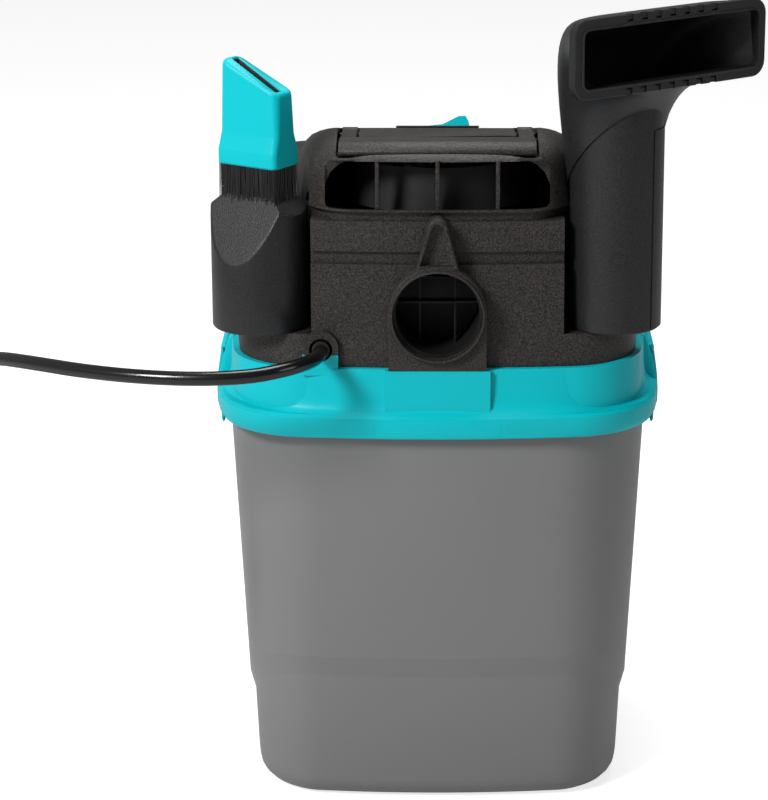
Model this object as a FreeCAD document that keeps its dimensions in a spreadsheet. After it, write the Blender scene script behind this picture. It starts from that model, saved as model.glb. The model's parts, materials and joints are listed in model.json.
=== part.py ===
import FreeCAD, Part
import math
import os
import re
import Sketcher

# A small wet and dry shop vacuum: a square tank, a teal collar that carries the
# motor head, and two hand tools that stand on posts at the rear corners.
# +Z is up, the blower port faces -Y, and the origin is the middle of the tank's base.
# Every length is in millimetres and every angle in degrees.

Vector = FreeCAD.Vector
doc = FreeCAD.newDocument("shop_vacuum")

SIZES = {
    # plan of the mouldings: half width at mid face, corner radius and face bulge radius
    "face_radius": 700, "plan_corner": 47,
    "tank_foot": 107, "tank_step_low": 109.6, "tank_step_high": 112.6, "tank_top": 120.8,
    "tank_wall": 2.6, "tank_floor": 3, "tank_height": 228,
    "step_start": 58, "step_end": 68, "foot_round": 9,
    "bead_out": 1.8, "bead_height": 6,
    "gasket_thick": 3, "gasket_wide": 4,
    "lip_wall": 4, "lip_low": 223.5, "lip_high": 237, "skirt_gap": 0.4,
    "collar_half": 119.2, "collar_wall": 3.5, "deck_thick": 3, "collar_top": 261.5,
    "air_hole": 15,
    # motor housing
    "housing_half": 115, "housing_shelf": 114, "housing_upper": 109, "housing_wall": 3,
    "shelf_height": 279.5, "housing_top": 342.5,
    "groove_low": 320, "groove_high": 324.5, "groove_deep": 1.4,
    "tool_x": 98, "tool_y": 88, "tool_clear": 0.3, "scoop_gap": 2, "nozzle_gap": 3.3,
    "cap_gap": 0.9,
    "post_height": 34, "post_wall": 2.5,
    # blower port and hose inlet
    "port_bore": 24.6, "port_ring": 25.9, "port_height": 293, "port_deep": 28,
    "port_face": 126, "pad_face": 122, "pad_half": 28, "duct_wall": 1.6,
    "inlet_height": 180, "inlet_wall": 2.4, "inlet_flange": 34, "flange_thick": 4, "inlet_deep": 24,
    # latches
    "latch_half": 38, "latch_pin": 1.8, "latch_knuckle": 3.1, "pivot_height": 250, "fit": 0.05,
    "latch_gap": 0.3, "latch_low": 206,
    # cap and handle
    "cap_half": 80, "cap_deep": 110, "cap_corner": 26, "cap_wall": 3, "cap_base": 347, "neck_inset": 3,
    "ridge_height": 384.4, "ridge_back": 60, "top_slope": 0.21,
    "window_half": 60, "window_low": 349.5, "window_high": 373.5, "window_rib": 3,
    "grip_half": 54, "grip_back": 79, "grip_front": 51, "arm_wide": 9, "arm_gap": 1.75,
    "handle_tilt": 6, "handle_y": 20, "handle_z": 371.4, "handle_pin": 2,
    # switch
    "switch_y": 60, "switch_half": 21.5, "switch_wide": 9.5, "switch_tilt": 11.9,
    # motor
    "fan_case": 76, "fan_case_wall": 2.5, "fan_case_top": 320, "impeller_half": 60,
    "impeller_low": 267, "impeller_high": 287, "shaft": 4, "stator": 34, "stator_low": 299,
    "stator_high": 325, "armature": 18, "motor_case": 37, "motor_top": 340,
    # float and filter
    "cage_out": 33, "cage_wall": 3, "cage_low": 172.3, "float_half": 22, "filter_out": 56,
    "filter_in": 35, "filter_low": 172, "filter_high": 252, "filter_cap": 4,
    # tools
    "blade_half": 18, "blade_thick": 7, "blade_top": 404, "crevice_half": 26.8, "tool_wall": 2.4,
    "crevice_shoulder": 316, "blade_start": 343, "head_half": 20.4, "head_deep": 11.2,
    "head_low": 370.5, "head_left": 428, "head_right": 412, "bristle_low": 346.5,
    "nozzle_half": 25.5, "neck_start": 366, "mouth_half": 62, "mouth_tall": 21,
    "mouth_height": 440, "mouth_reach": 44, "crevice_turn": -30, "nozzle_turn": 36,
    # mains cord
    "cord": 8, "cord_x": 64, "cord_height": 272, "exit_y": 117,
    "gland_hole": 6.4, "gland_half": 9.6, "gland_back": 3.5, "relief_half": 6.2, "relief_long": 26,
    "coil_x": 357, "coil_y": 62, "coil_middle": 48, "coil_wide": 40, "coil_tall": 24,
}

size = doc.addObject("Spreadsheet::Sheet", "Size")
for row, (name, value) in enumerate(SIZES.items(), start=1):
    size.set("A%d" % row, name)
    size.set("B%d" % row, str(value))
    size.setAlias("B%d" % row, name)
doc.recompute()

ALIAS = re.compile(r"\b(" + "|".join(sorted(SIZES, key=len, reverse=True)) + r")\b")
nodes = []


# ---------------------------------------------------------------- helpers
def bound(text):
    """A formula of named sizes, written so that other objects can use it."""
    return ALIAS.sub(r"Size.\1", text)


def number(text):
    """The present value of a formula of named sizes."""
    return float(size.evalExpression(bound(text)))


def node(piece, label):
    """Give a finished sub-part the label that names its file."""
    piece.Label = label
    nodes.append(piece)
    return piece


def place(piece, x="0", y="0", z="0", turn=0.0, about=(0, 0, 1)):
    """Put a piece at a place that follows the sheet, turned about one axis."""
    rotation = FreeCAD.Rotation(Vector(*about), turn)
    piece.Placement = FreeCAD.Placement(Vector(number(x), number(y), number(z)), rotation)
    for axis, text in (("x", x), ("y", y), ("z", z)):
        piece.setExpression("Placement.Base." + axis, bound(text))
    return piece


def box(name, x, y, z):
    """A block between two corners; each of x, y and z is a (low, high) pair of formulas."""
    piece = doc.addObject("Part::Box", name)
    for prop, (low, high) in (("Length", x), ("Width", y), ("Height", z)):
        piece.setExpression(prop, bound("(%s) - (%s)" % (high, low)))
    return place(piece, x[0], y[0], z[0])


def rod(name, radius, length, x="0", y="0", z="0", turn=0.0, about=(1, 0, 0)):
    """A round bar that starts at a place and runs along +Z before it is turned."""
    piece = doc.addObject("Part::Cylinder", name)
    piece.setExpression("Radius", bound(radius))
    piece.setExpression("Height", bound(length))
    return place(piece, x, y, z, turn, about)


def fused(name, pieces):
    piece = doc.addObject("Part::MultiFuse", name)
    piece.Shapes = pieces
    return piece


def cut(name, base, tool):
    piece = doc.addObject("Part::Cut", name)
    piece.Base = base
    piece.Tool = tool
    return piece


def common(name, pieces):
    piece = doc.addObject("Part::MultiCommon", name)
    piece.Shapes = pieces
    return piece


def group(name, pieces):
    piece = doc.addObject("Part::Compound", name)
    piece.Links = pieces
    return piece


def body(name):
    return doc.addObject("PartDesign::Body", name)


def sketch_on(piece, role, offset="0", name="Sketch"):
    """A sketch on one of the body's own origin planes, moved along the plane's normal."""
    sketch = piece.newObject("Sketcher::SketchObject", name)
    plane = [item for item in piece.Origin.OriginFeatures if item.Role == role][0]
    sketch.AttachmentSupport = [(plane, "")]
    sketch.MapMode = "FlatFace"
    sketch.setExpression(".AttachmentOffset.Base.z", bound(offset))
    return sketch


def bind(sketch, kind, places, text):
    """Add one dimension to a sketch and bind it to a formula."""
    index = sketch.addConstraint(Sketcher.Constraint(kind, *places, number(text)))
    sketch.setExpression("Constraints[%d]" % index, bound(text))


def outline(sketch, corners):
    """A closed outline of straight lines whose corners follow the sheet."""
    points = [Vector(number(x), number(y), 0) for x, y in corners]
    count = len(points)
    first = sketch.GeometryCount
    for index in range(count):
        sketch.addGeometry(Part.LineSegment(points[index], points[(index + 1) % count]))
    for index in range(count):
        after = first + (index + 1) % count
        sketch.addConstraint(Sketcher.Constraint("Coincident", first + index, 2, after, 1))
    for index, (x, y) in enumerate(corners):
        bind(sketch, "DistanceX", (-1, 1, first + index, 1), x)
        bind(sketch, "DistanceY", (-1, 1, first + index, 1), y)


def disc(sketch, radius, x="0", y="0"):
    """A circle whose centre and radius follow the sheet."""
    first = sketch.GeometryCount
    centre = Vector(number(x), number(y), 0)
    sketch.addGeometry(Part.Circle(centre, Vector(0, 0, 1), number(radius)))
    bind(sketch, "DistanceX", (-1, 1, first, 3), x)
    bind(sketch, "DistanceY", (-1, 1, first, 3), y)
    bind(sketch, "Radius", (first,), radius)


def soft_rectangle(sketch, wide, deep, corner, face="face_radius"):
    """A rectangle with slightly bulged sides and round corners, all arcs meeting smoothly."""
    half_x, half_y = number(wide), number(deep)
    round_corner, bulge = number(corner), number(face)
    side_x, side_y = half_x - bulge, half_y - bulge
    apart = math.hypot(side_x, side_y)
    rise = math.sqrt((bulge - round_corner) ** 2 - apart ** 2 / 4)
    corner_x = side_x / 2 - rise * side_y / apart
    corner_y = side_y / 2 - rise * side_x / apart
    to_x = math.degrees(math.atan2(corner_y, corner_x - side_x))
    to_y = math.degrees(math.atan2(corner_y - side_y, corner_x))
    arcs = []
    for quarter in range(4):
        turn = 90 * quarter
        flat = quarter % 2 == 0
        reach = side_x if flat else side_y
        sweep = to_x if flat else 90 - to_y
        middle = Vector(reach * math.cos(math.radians(turn)), reach * math.sin(math.radians(turn)), 0)
        arcs.append((middle, bulge, turn - sweep, turn + sweep))
        sign_x = 1 if quarter in (0, 3) else -1
        sign_y = 1 if quarter in (0, 1) else -1
        start = turn + sweep
        next_sweep = 90 - to_y if flat else to_x
        arcs.append((Vector(sign_x * corner_x, sign_y * corner_y, 0), round_corner, start,
                     turn + 90 - next_sweep))
    first = sketch.GeometryCount
    for middle, radius, start, end in arcs:
        circle = Part.Circle(middle, Vector(0, 0, 1), radius)
        sketch.addGeometry(Part.ArcOfCircle(circle, math.radians(start), math.radians(end)))
    for index in range(8):
        after = first + (index + 1) % 8
        sketch.addConstraint(Sketcher.Constraint("Tangent", first + index, 2, after, 1))
    for index, (x, y) in enumerate(((1, 0), (0, 1), (-1, 0), (0, -1))):
        side = first + 2 * index
        bind(sketch, "DistanceX", (-1, 1, side, 3), "(%d) * ((%s) - (%s))" % (x, wide, face))
        bind(sketch, "DistanceY", (-1, 1, side, 3), "(%d) * ((%s) - (%s))" % (y, deep, face))
        bind(sketch, "Radius", (side,), face)
        bind(sketch, "Radius", (side + 1,), corner)


def pad(piece, sketch, length, name="Pad", both=False):
    feature = piece.newObject("PartDesign::Pad", name)
    feature.Profile = sketch
    feature.setExpression("Length", bound(length))
    feature.Midplane = both
    piece.Tip = feature
    return feature


def loft(piece, levels, name, kind="PartDesign::AdditiveLoft"):
    """A ruled loft up through level soft rectangles: (height, half width, half depth, corner)."""
    sections = []
    for index, (height, wide, deep, corner) in enumerate(levels):
        sketch = sketch_on(piece, "XY_Plane", height, "%s_level_%d" % (name, index))
        soft_rectangle(sketch, wide, deep, corner)
        sections.append(sketch)
    feature = piece.newObject(kind, name)
    feature.Profile = sections[0]
    feature.Sections = sections[1:]
    feature.Ruled = True
    piece.Tip = feature
    return feature


def square_levels(levels):
    """Levels of a square plan whose corner shrinks with its half width."""
    result = []
    for height, half in levels:
        result.append((height, half, half, "plan_corner - (tank_top - (%s))" % half))
    return result


def turned(name, corners):
    """A round piece: an outline of (radius, height) corners turned about +Z."""
    piece = body(name)
    sketch = sketch_on(piece, "XZ_Plane")
    outline(sketch, corners)
    feature = piece.newObject("PartDesign::Revolution", "Turned")
    feature.Profile = sketch
    feature.ReferenceAxis = (sketch, ["V_Axis"])
    feature.Angle = 360
    piece.Tip = feature
    return piece


def ring(name, inner, outer, low, high):
    return turned(name, [(inner, low), (outer, low), (outer, high), (inner, high)])


def disc_solid(name, outer, low, high):
    return turned(name, [("0", low), (outer, low), (outer, high), ("0", high)])


# ---------------------------------------------------------------- tank
tank_body = body("tank_shell")
OUTER_LEVELS = [("0", "tank_foot - foot_round"), ("foot_round * 0.3", "tank_foot - foot_round * 0.3"),
                ("foot_round", "tank_foot"), ("step_start", "tank_step_low"),
                ("step_end", "tank_step_high"), ("tank_height", "tank_top")]
loft(tank_body, square_levels(OUTER_LEVELS), "wall")
bead = sketch_on(tank_body, "XY_Plane", "tank_height - bead_height", "bead_plan")
soft_rectangle(bead, "tank_top + bead_out", "tank_top + bead_out", "plan_corner + bead_out")
pad(tank_body, bead, "bead_height", "bead")
INNER_LEVELS = [("tank_floor", "tank_foot - foot_round"), ("foot_round", "tank_foot - tank_wall"),
                ("step_start", "tank_step_low - tank_wall"), ("step_end", "tank_step_high - tank_wall"),
                ("tank_height", "tank_top - tank_wall")]
loft(tank_body, square_levels(INNER_LEVELS), "inside", "PartDesign::SubtractiveLoft")
inlet_hole = rod("inlet_hole", "port_bore + inlet_wall + latch_gap", "60",
                 "0", "tank_step_high - 20", "inlet_height", -90)
node(cut("tank_part", tank_body, inlet_hole), "tank")

gasket = body("gasket_ring")
outer = sketch_on(gasket, "XY_Plane", "tank_height", "outer_plan")
soft_rectangle(outer, "tank_top + bead_out - latch_gap", "tank_top + bead_out - latch_gap", "plan_corner")
pad(gasket, outer, "gasket_thick", "outer")
hole = sketch_on(gasket, "XY_Plane", "tank_height", "hole_plan")
soft_rectangle(hole, "tank_top + bead_out - gasket_wide", "tank_top + bead_out - gasket_wide",
               "plan_corner - gasket_wide")
pocket = gasket.newObject("PartDesign::Pocket", "hole")
pocket.Profile = hole
pocket.Reversed = True
pocket.setExpression("Length", bound("gasket_thick"))
gasket.Tip = pocket
node(gasket, "tank_gasket")


# ---------------------------------------------------------------- hose inlet in the tank's front
def along_front(piece, height="inlet_height", y="0"):
    """Lay a piece turned about +Z so that its axis points out of the front, along +Y."""
    return place(piece, "0", y, height, -90, (1, 0, 0))


SEAT = "(tank_step_high + (tank_top - tank_step_high) * (inlet_height + inlet_flange - step_end)" \
       " / (tank_height - step_end) + latch_gap)"
hose_inlet = turned("hose_inlet_turned", [
    ("port_bore", SEAT + " - inlet_deep"), ("port_bore + inlet_wall", SEAT + " - inlet_deep"),
    ("port_bore + inlet_wall", SEAT + " + gasket_thick / 2"), ("inlet_flange",
                                                               SEAT + " + gasket_thick / 2"),
    ("inlet_flange", SEAT + " + flange_thick"), ("port_bore + inlet_wall + 1",
                                                 SEAT + " + flange_thick + 5"),
    ("port_bore", SEAT + " + flange_thick + 5")])
node(along_front(hose_inlet), "hose_inlet")
inlet_gasket = ring("inlet_gasket_turned", "port_bore + inlet_wall + latch_gap", "inlet_flange - 1",
                    SEAT, SEAT + " + gasket_thick / 2")
node(along_front(inlet_gasket), "inlet_gasket")
deflector_out = turned("deflector_out", [
    ("0", SEAT + " - inlet_deep - 22"), ("port_bore + inlet_wall", SEAT + " - inlet_deep - 22"),
    ("port_bore + inlet_wall", SEAT + " - inlet_deep"), ("0", SEAT + " - inlet_deep")])
deflector_in = disc_solid("deflector_in", "port_bore", SEAT + " - inlet_deep - 19",
                          SEAT + " - inlet_deep + 1")
deflector_open = box("deflector_open", ("-60", "60"), ("0", "60"),
                     (SEAT + " - inlet_deep - 19", SEAT + " - inlet_deep + 1"))
deflector = cut("deflector_cup", deflector_out, fused("deflector_tools", [deflector_in, deflector_open]))
node(along_front(deflector), "inlet_deflector")

# ---------------------------------------------------------------- collar
LIP = "(tank_top + bead_out + skirt_gap + lip_wall)"
collar_body = body("collar_body")
loft(collar_body, square_levels([("lip_low", LIP + " - 2.2"), ("lip_low + 3.5", LIP),
                                 ("lip_high - 1.5", LIP),
                                 ("lip_high", LIP + " - 2")]), "lip")
loft(collar_body, square_levels([("lip_high", "collar_half"), ("collar_top", "collar_half - 0.8")]), "wall")
loft(collar_body, square_levels([("lip_low", "tank_top + bead_out + skirt_gap"),
                                 ("tank_height + gasket_thick", "tank_top + bead_out + skirt_gap")]),
     "skirt", "PartDesign::SubtractiveLoft")
loft(collar_body, square_levels([("tank_height + gasket_thick", "collar_half - collar_wall"),
                                 ("collar_top - deck_thick", "collar_half - 0.8 - collar_wall")]),
     "inside", "PartDesign::SubtractiveLoft")
port_box = box("port_box", ("-pad_half - 1", "pad_half + 1"), ("-pad_face", "-collar_half + 4"),
               ("lip_high - 1", "collar_top"))
cord_tab = box("cord_tab", ("-cord_x - 10", "-cord_x + 9.5"), ("-collar_half + 3", "-collar_half + 6"),
               ("collar_top - 4", "cord_height - 3"))
ears = []
for side in (-1, 1):
    for end in (-1, 1):
        low, high = sorted((end * (number("latch_half") + 0.6), end * (number("latch_half") + 4.6)))
        ear = box("latch_ear_%d_%d" % (side + 1, end + 1), ("0", "8"), (str(low), str(high)), ("0", "9"))
        x = "collar_half - 2.5" if side > 0 else "-collar_half - 5.5"
        ears.append(place(ear, x, str(low), "pivot_height - 4.5"))
collar_solid = fused("collar_solid", [collar_body, port_box, cord_tab] + ears)
tools = [rod("air_hole_cut", "air_hole", "20", z="collar_top - 15"),
         rod("cord_notch", "gland_hole", "20", "-cord_x", "-collar_half + 12", "cord_height", 90)]
for side in (-1, 1):
    low, high = ("collar_half + 0.4", "160") if side > 0 else ("-160", "-collar_half - 0.4")
    tools.append(box("latch_pocket_%d" % (side + 1), (low, high), ("-latch_half - 0.5", "latch_half + 0.5"),
                     ("lip_low - 5", "collar_top + 5")))
    tools.append(rod("latch_pin_hole_%d" % (side + 1), "latch_pin", "2 * latch_half + 20",
                     "%d * (collar_half + latch_knuckle + 0.2)" % side, "latch_half + 10", "pivot_height", 90))
for x in (-1, 1):
    for y in (-1, 1):
        tools.append(rod("deck_screw_hole_%d_%d" % (x + 1, y + 1), "2.2", "20",
                         "%d * (housing_half - 9)" % x,
                         "%d * 30" % y, "collar_top - 12"))
collar = cut("collar_part", collar_solid, fused("collar_tools", tools))
node(collar, "collar")

# ---------------------------------------------------------------- side latches and their pins
PIVOT_X = "(collar_half + latch_knuckle + 0.2)"
INNER_X = "(tank_top + bead_out + latch_gap)"
for side, word in ((-1, "left"), (1, "right")):
    latch_body = body("latch_body_" + word)
    profile = sketch_on(latch_body, "XZ_Plane")
    outline(profile, [
        ("%d * (%s - 1)" % (side, PIVOT_X), "pivot_height"), ("%d * (%s + 2.2)" % (side, PIVOT_X),
                                                              "pivot_height + 2"),
        ("%d * (%s + 4.4)" % (side, PIVOT_X), "pivot_height - 8"),
        ("%d * (%s + 6.6)" % (side, PIVOT_X), "pivot_height - 18"),
        ("%d * (%s + 6.8)" % (side, PIVOT_X), "pivot_height - 32"),
        ("%d * (%s + 3.2)" % (side, PIVOT_X), "latch_low + 1.5"), ("%d * (%s + 1.2)" % (side, PIVOT_X),
                                                                   "latch_low"),
        ("%d * %s" % (side, INNER_X), "latch_low + 3"), ("%d * %s" % (side, INNER_X), "tank_height + 8"),
        ("%d * (%s - 2)" % (side, PIVOT_X), "pivot_height - 6")])
    pad(latch_body, profile, "2 * latch_half", "lever", both=True)
    knuckle = rod("latch_knuckle_" + word, "latch_knuckle", "2 * latch_half", "%d * %s" % (side, PIVOT_X),
                  "latch_half", "pivot_height", 90)
    bore = rod("latch_bore_" + word, "latch_pin + fit", "2 * latch_half + 4", "%d * %s" % (side, PIVOT_X),
               "latch_half + 2", "pivot_height", 90)
    lever = cut("latch_part_" + word, fused("latch_solid_" + word, [latch_body, knuckle]), bore)
    node(lever, "latch_" + word)
    pin = rod("latch_pin_part_" + word, "latch_pin - 0.02", "2 * latch_half + 9",
              "%d * %s" % (side, PIVOT_X),
              "latch_half + 4.5", "pivot_height", 90)
    node(pin, "latch_pin_" + word)

# ---------------------------------------------------------------- motor housing
housing_body = body("housing_body")
loft(housing_body, square_levels([("collar_top", "housing_half"), ("shelf_height", "housing_shelf")]),
     "base")
loft(housing_body, square_levels([("shelf_height", "housing_shelf"), ("housing_top", "housing_upper")]),
     "upper")
core_body = body("housing_core")
loft(core_body, square_levels([("collar_top", "housing_half - housing_wall"),
                               ("shelf_height - housing_wall", "housing_shelf - housing_wall")]), "base")
loft(core_body, square_levels([("shelf_height - housing_wall", "housing_shelf - housing_wall"),
                               ("housing_top - housing_wall", "housing_upper - housing_wall")]), "upper")
walls = []
scoops = []
for side in (-1, 1):
    word = "left" if side < 0 else "right"
    at = ("%d * tool_x" % side, "-tool_y")
    inner = "crevice_half" if side < 0 else "nozzle_half"
    scoop_half = "crevice_half + scoop_gap" if side < 0 else "nozzle_half + nozzle_gap"
    walls.append(rod("scoop_wall_" + word, scoop_half + " + housing_wall", "100", *at,
                     "shelf_height - housing_wall"))
    scoops.append(rod("scoop_" + word, scoop_half, "100", *at, "shelf_height"))
    post = rod("post_" + word, inner + " - tool_wall - tool_clear", "post_height", *at, "shelf_height")
    hollow = rod("post_hollow_" + word, inner + " - tool_wall - tool_clear - post_wall", "post_height", *at,
                 "shelf_height + post_wall")
    tube = cut("post_tube_" + word, post, hollow)
    keep = body("post_keep_" + word)
    keep_plan = sketch_on(keep, "XY_Plane", "shelf_height")
    soft_rectangle(keep_plan, "housing_shelf - 0.6", "housing_shelf - 0.6", "plan_corner - 7")
    pad(keep, keep_plan, "post_height")
    node(common("post_inboard_" + word, [tube, keep]), "tool_post_" + word)
core = cut("housing_inside", core_body, fused("scoop_walls", walls))
shell = cut("housing_shell", housing_body, core)
groove_body = body("groove_ring")
groove_plan = sketch_on(groove_body, "XY_Plane", "groove_low", "groove_plan")
soft_rectangle(groove_plan, "housing_half + 10", "housing_half + 10", "plan_corner")
pad(groove_body, groove_plan, "groove_high - groove_low", "outside")
groove_core = sketch_on(groove_body, "XY_Plane", "groove_low", "groove_core")
soft_rectangle(groove_core, "housing_upper + 1.6 - groove_deep", "housing_upper + 1.6 - groove_deep",
               "plan_corner - 11")
groove_pocket = groove_body.newObject("PartDesign::Pocket", "inside")
groove_pocket.Profile = groove_core
groove_pocket.Reversed = True
groove_pocket.setExpression("Length", bound("groove_high - groove_low"))
groove_body.Tip = groove_pocket

pad_block = box("port_pad_block", ("-pad_half", "pad_half"), ("-pad_face", "-housing_upper + 6"),
                ("collar_top", "port_height"))
pad_arch = rod("port_pad_arch", "pad_half", "pad_face - housing_upper + 6", "0", "-housing_upper + 6",
               "port_height", 90)
port_tube = rod("port_tube", "port_ring", "port_face - housing_upper + 10", "0", "-housing_upper + 10",
                "port_height", 90)
flap_body = body("port_flap")
flap_plan = sketch_on(flap_body, "XZ_Plane", "housing_upper - 0.8")
outline(flap_plan, [("-13.5", "port_height + 20"), ("13.5", "port_height + 20"), ("7", "port_height + 47"),
                    ("3.5", "port_height + 51.5"), ("-3.5", "port_height + 51.5"), ("-7",
                                                                                    "port_height + 47")])
pad(flap_body, flap_plan, "pad_face - housing_upper - 1.2", "flap")
flap_hollow = body("port_flap_hollow")
hollow_plan = sketch_on(flap_hollow, "XZ_Plane", "pad_face - 6")
outline(hollow_plan, [("-9.5", "port_height + 24"), ("9.5", "port_height + 24"),
                      ("3.6", "port_height + 45"),
                      ("-3.6", "port_height + 45")])
pad(flap_hollow, hollow_plan, "12", "hollow")
bosses = []
boss_holes = []
for x in (-1, 1):
    for y in (-1, 1):
        at = ("%d * (housing_half - 9)" % x, "%d * 30" % y)
        bosses.append(rod("boss_%d_%d" % (x + 1, y + 1), "5.5", "30", *at, "collar_top"))
        boss_holes.append(rod("boss_hole_%d_%d" % (x + 1, y + 1), "1.72", "22", *at, "collar_top"))
top_opening = body("housing_top_opening")
opening_plan = sketch_on(top_opening, "XY_Plane", "housing_top - 8")
soft_rectangle(opening_plan, "cap_half - 12", "cap_deep - 14", "cap_corner")
pad(top_opening, opening_plan, "20", "opening")
port_cut = rod("port_bore_cut", "port_bore", "60", "0", "-port_face - 5", "port_height", -90)
gland_cut = rod("gland_cut", "gland_hole + 2.2", "30", "-cord_x", "-housing_half + 14", "cord_height", 90)
solid = fused("housing_solid", [cut("housing_scooped", shell, fused("scoops", scoops)), pad_block, pad_arch,
                                port_tube, flap_body] + bosses)
gland_seat = rod("gland_seat", "gland_half + 0.3", "10", "-cord_x", "-housing_half + gland_back + 0.1",
                 "cord_height + 1", 90)
relief_cut = rod("relief_cut", "relief_half + 0.2", "relief_long", "-cord_x", "-exit_y + relief_long + 2",
                 "cord_height", 90)
housing_tools = fused("housing_tools",
                      [groove_body, flap_hollow, top_opening, port_cut, gland_cut, gland_seat,
                       relief_cut] + boss_holes)
pad_keep = box("pad_keep", ("-pad_half - 1", "pad_half + 1"), ("-200", "-housing_upper"), ("0", "600"))
housing = cut("housing_part", solid, cut("housing_cuts", housing_tools,
                                         common("groove_at_pad", [groove_body, pad_keep])))
node(housing, "motor_housing")

screws = []
for x in (-1, 1):
    for y in (-1, 1):
        screw = turned("deck_screw_%d_%d" % (x + 1, y + 1), [
            ("0", "-3"), ("3.6", "-3"), ("3.6", "0"), ("1.7", "0"), ("1.7", "20"), ("0", "20")])
        screws.append(place(screw, "%d * (housing_half - 9)" % x, "%d * 30" % y, "collar_top - deck_thick"))
node(group("deck_screws_group", screws), "housing_screws")

# ---------------------------------------------------------------- exhaust duct and fan housing
duct = turned("exhaust_duct_turned", [
    ("port_bore - duct_wall", "fan_case - 6"), ("port_bore - 0.1", "fan_case - 6"),
    ("port_bore - 0.1", "port_face - port_deep"), ("port_bore - duct_wall", "port_face - port_deep")])
bars = [box("duct_bar_left", ("-10.5", "-9"), ("-port_bore + 1", "port_bore - 1"),
            ("port_face - port_deep - 12", "port_face - port_deep")),
        box("duct_bar_right", ("9", "10.5"), ("-port_bore + 1", "port_bore - 1"),
            ("port_face - port_deep - 12", "port_face - port_deep")),
        box("duct_bar_level", ("-port_bore + 1", "port_bore - 1"), ("-7.5", "-6"),
            ("port_face - port_deep - 12", "port_face - port_deep"))]
bore_shape = disc_solid("duct_round", "port_bore - 0.5", "fan_case - 6", "port_face - port_deep")
guard = common("duct_guard", [fused("duct_bars", bars), bore_shape])
exhaust = fused("exhaust_part", [duct, guard])
node(place(exhaust, "0", "0", "port_height", 90, (1, 0, 0)), "exhaust_duct")

fan_shell = turned("fan_shell", [
    ("air_hole + 4", "collar_top"), ("fan_case", "collar_top"), ("fan_case", "fan_case_top"),
    ("motor_case + 2", "fan_case_top"), ("motor_case + 2", "fan_case_top - fan_case_wall"),
    ("fan_case - fan_case_wall", "fan_case_top - fan_case_wall"),
    ("fan_case - fan_case_wall", "collar_top + fan_case_wall"), ("air_hole + 4",
                                                                 "collar_top + fan_case_wall")])
fan_port = rod("fan_port", "port_bore", "60", "0", "-fan_case + 20", "port_height", 90)
node(cut("fan_housing_part", fan_shell, fan_port), "fan_housing")

# ---------------------------------------------------------------- motor, from the impeller up
impeller_body = turned("impeller_disc", [
    ("shaft + fit", "impeller_low + 4"), ("9", "impeller_low + 4"), ("9", "impeller_high - 2"),
    ("impeller_half", "impeller_high - 2"), ("impeller_half", "impeller_high"), ("shaft + fit",
                                                                                 "impeller_high")])
shroud = ring("impeller_shroud", "air_hole + 6", "impeller_half", "impeller_low", "impeller_low + 1.2")
blades = []
for index in range(9):
    blade = box("impeller_blade_%d" % index, ("0", "impeller_half - 30"), ("0", "1.2"),
                ("0", "impeller_high - impeller_low - 3"))
    turn = 40 * index
    spot = ("28 * cos(%d)" % turn, "28 * sin(%d)" % turn)
    blades.append(place(blade, spot[0], spot[1], "impeller_low + 1", turn - 18))
node(fused("impeller_part", [impeller_body, shroud] + blades), "impeller")
nut = body("nut_body")
nut_plan = sketch_on(nut, "XY_Plane", "impeller_low + 0.5")
outline(nut_plan, [("6.5 * cos(%d)" % (60 * k), "6.5 * sin(%d)" % (60 * k)) for k in range(6)])
disc(nut_plan, "shaft + fit")
pad(nut, nut_plan, "3.5", "hexagon")
node(nut, "impeller_nut")
node(disc_solid("shaft_turned", "shaft", "impeller_low + 0.3", "motor_top + 12"), "armature_shaft")
node(ring("armature_turned", "shaft + fit", "armature", "stator_low + 1", "stator_high - 1"),
     "armature_core")
node(ring("commutator_turned", "shaft + fit", "9", "stator_high + 2", "stator_high + 9"), "commutator")
node(ring("stator_turned", "armature + 0.6", "stator", "stator_low", "stator_high"), "stator_core")
windings = [ring("winding_low", "armature + 2", "stator - 4", "stator_low - 4", "stator_low"),
            ring("winding_high", "armature + 2", "stator - 4", "stator_high", "stator_high + 2.5")]
node(group("windings_group", windings), "stator_windings")
node(turned("motor_frame_turned", [
    ("9 + fit", "stator_low - 9"), ("motor_case", "stator_low - 9"), ("motor_case", "stator_high + 8"),
    ("stator + fit", "stator_high + 8"), ("stator + fit", "stator_low - 6.5"), ("9 + fit",
                                                                                "stator_low - 6.5")]),
    "motor_frame")
node(ring("bearing_low_turned", "shaft + 0.02", "9", "stator_low - 10", "stator_low - 5"), "bearing_lower")
node(turned("motor_cover_turned", [
    ("8 + fit", "motor_top - 5"), ("motor_case", "stator_high + 8"), ("motor_case", "stator_high + 11"),
    ("8 + fit", "motor_top + 0")]), "motor_cover")
node(ring("bearing_high_turned", "shaft + 0.02", "8", "motor_top - 5", "motor_top"), "bearing_upper")
fan_hub = ring("fan_hub", "shaft + fit", "8", "motor_top + 3", "motor_top + 10")
vanes = []
for index in range(8):
    vane = box("fan_vane_%d" % index, ("7", "28"), ("-0.6", "0.6"), ("motor_top + 3.5", "motor_top + 9.5"))
    vane.Placement = FreeCAD.Placement(Vector(0, 0, 0),
                                       FreeCAD.Rotation(Vector(0, 0, 1), 45 * index)) * vane.Placement
    vane.setExpression("Placement.Base.x", bound("7 * cos(%d) + 0.6 * sin(%d)" % (45 * index, 45 * index)))
    vane.setExpression("Placement.Base.y", bound("7 * sin(%d) - 0.6 * cos(%d)" % (45 * index, 45 * index)))
    vanes.append(vane)
node(fused("cooling_fan_part", [fan_hub] + vanes), "cooling_fan")
node(ring("mount_ring_turned", "motor_case + fit", "motor_case + 6", "fan_case_top", "fan_case_top + 4"),
     "motor_seal_ring")
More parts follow.
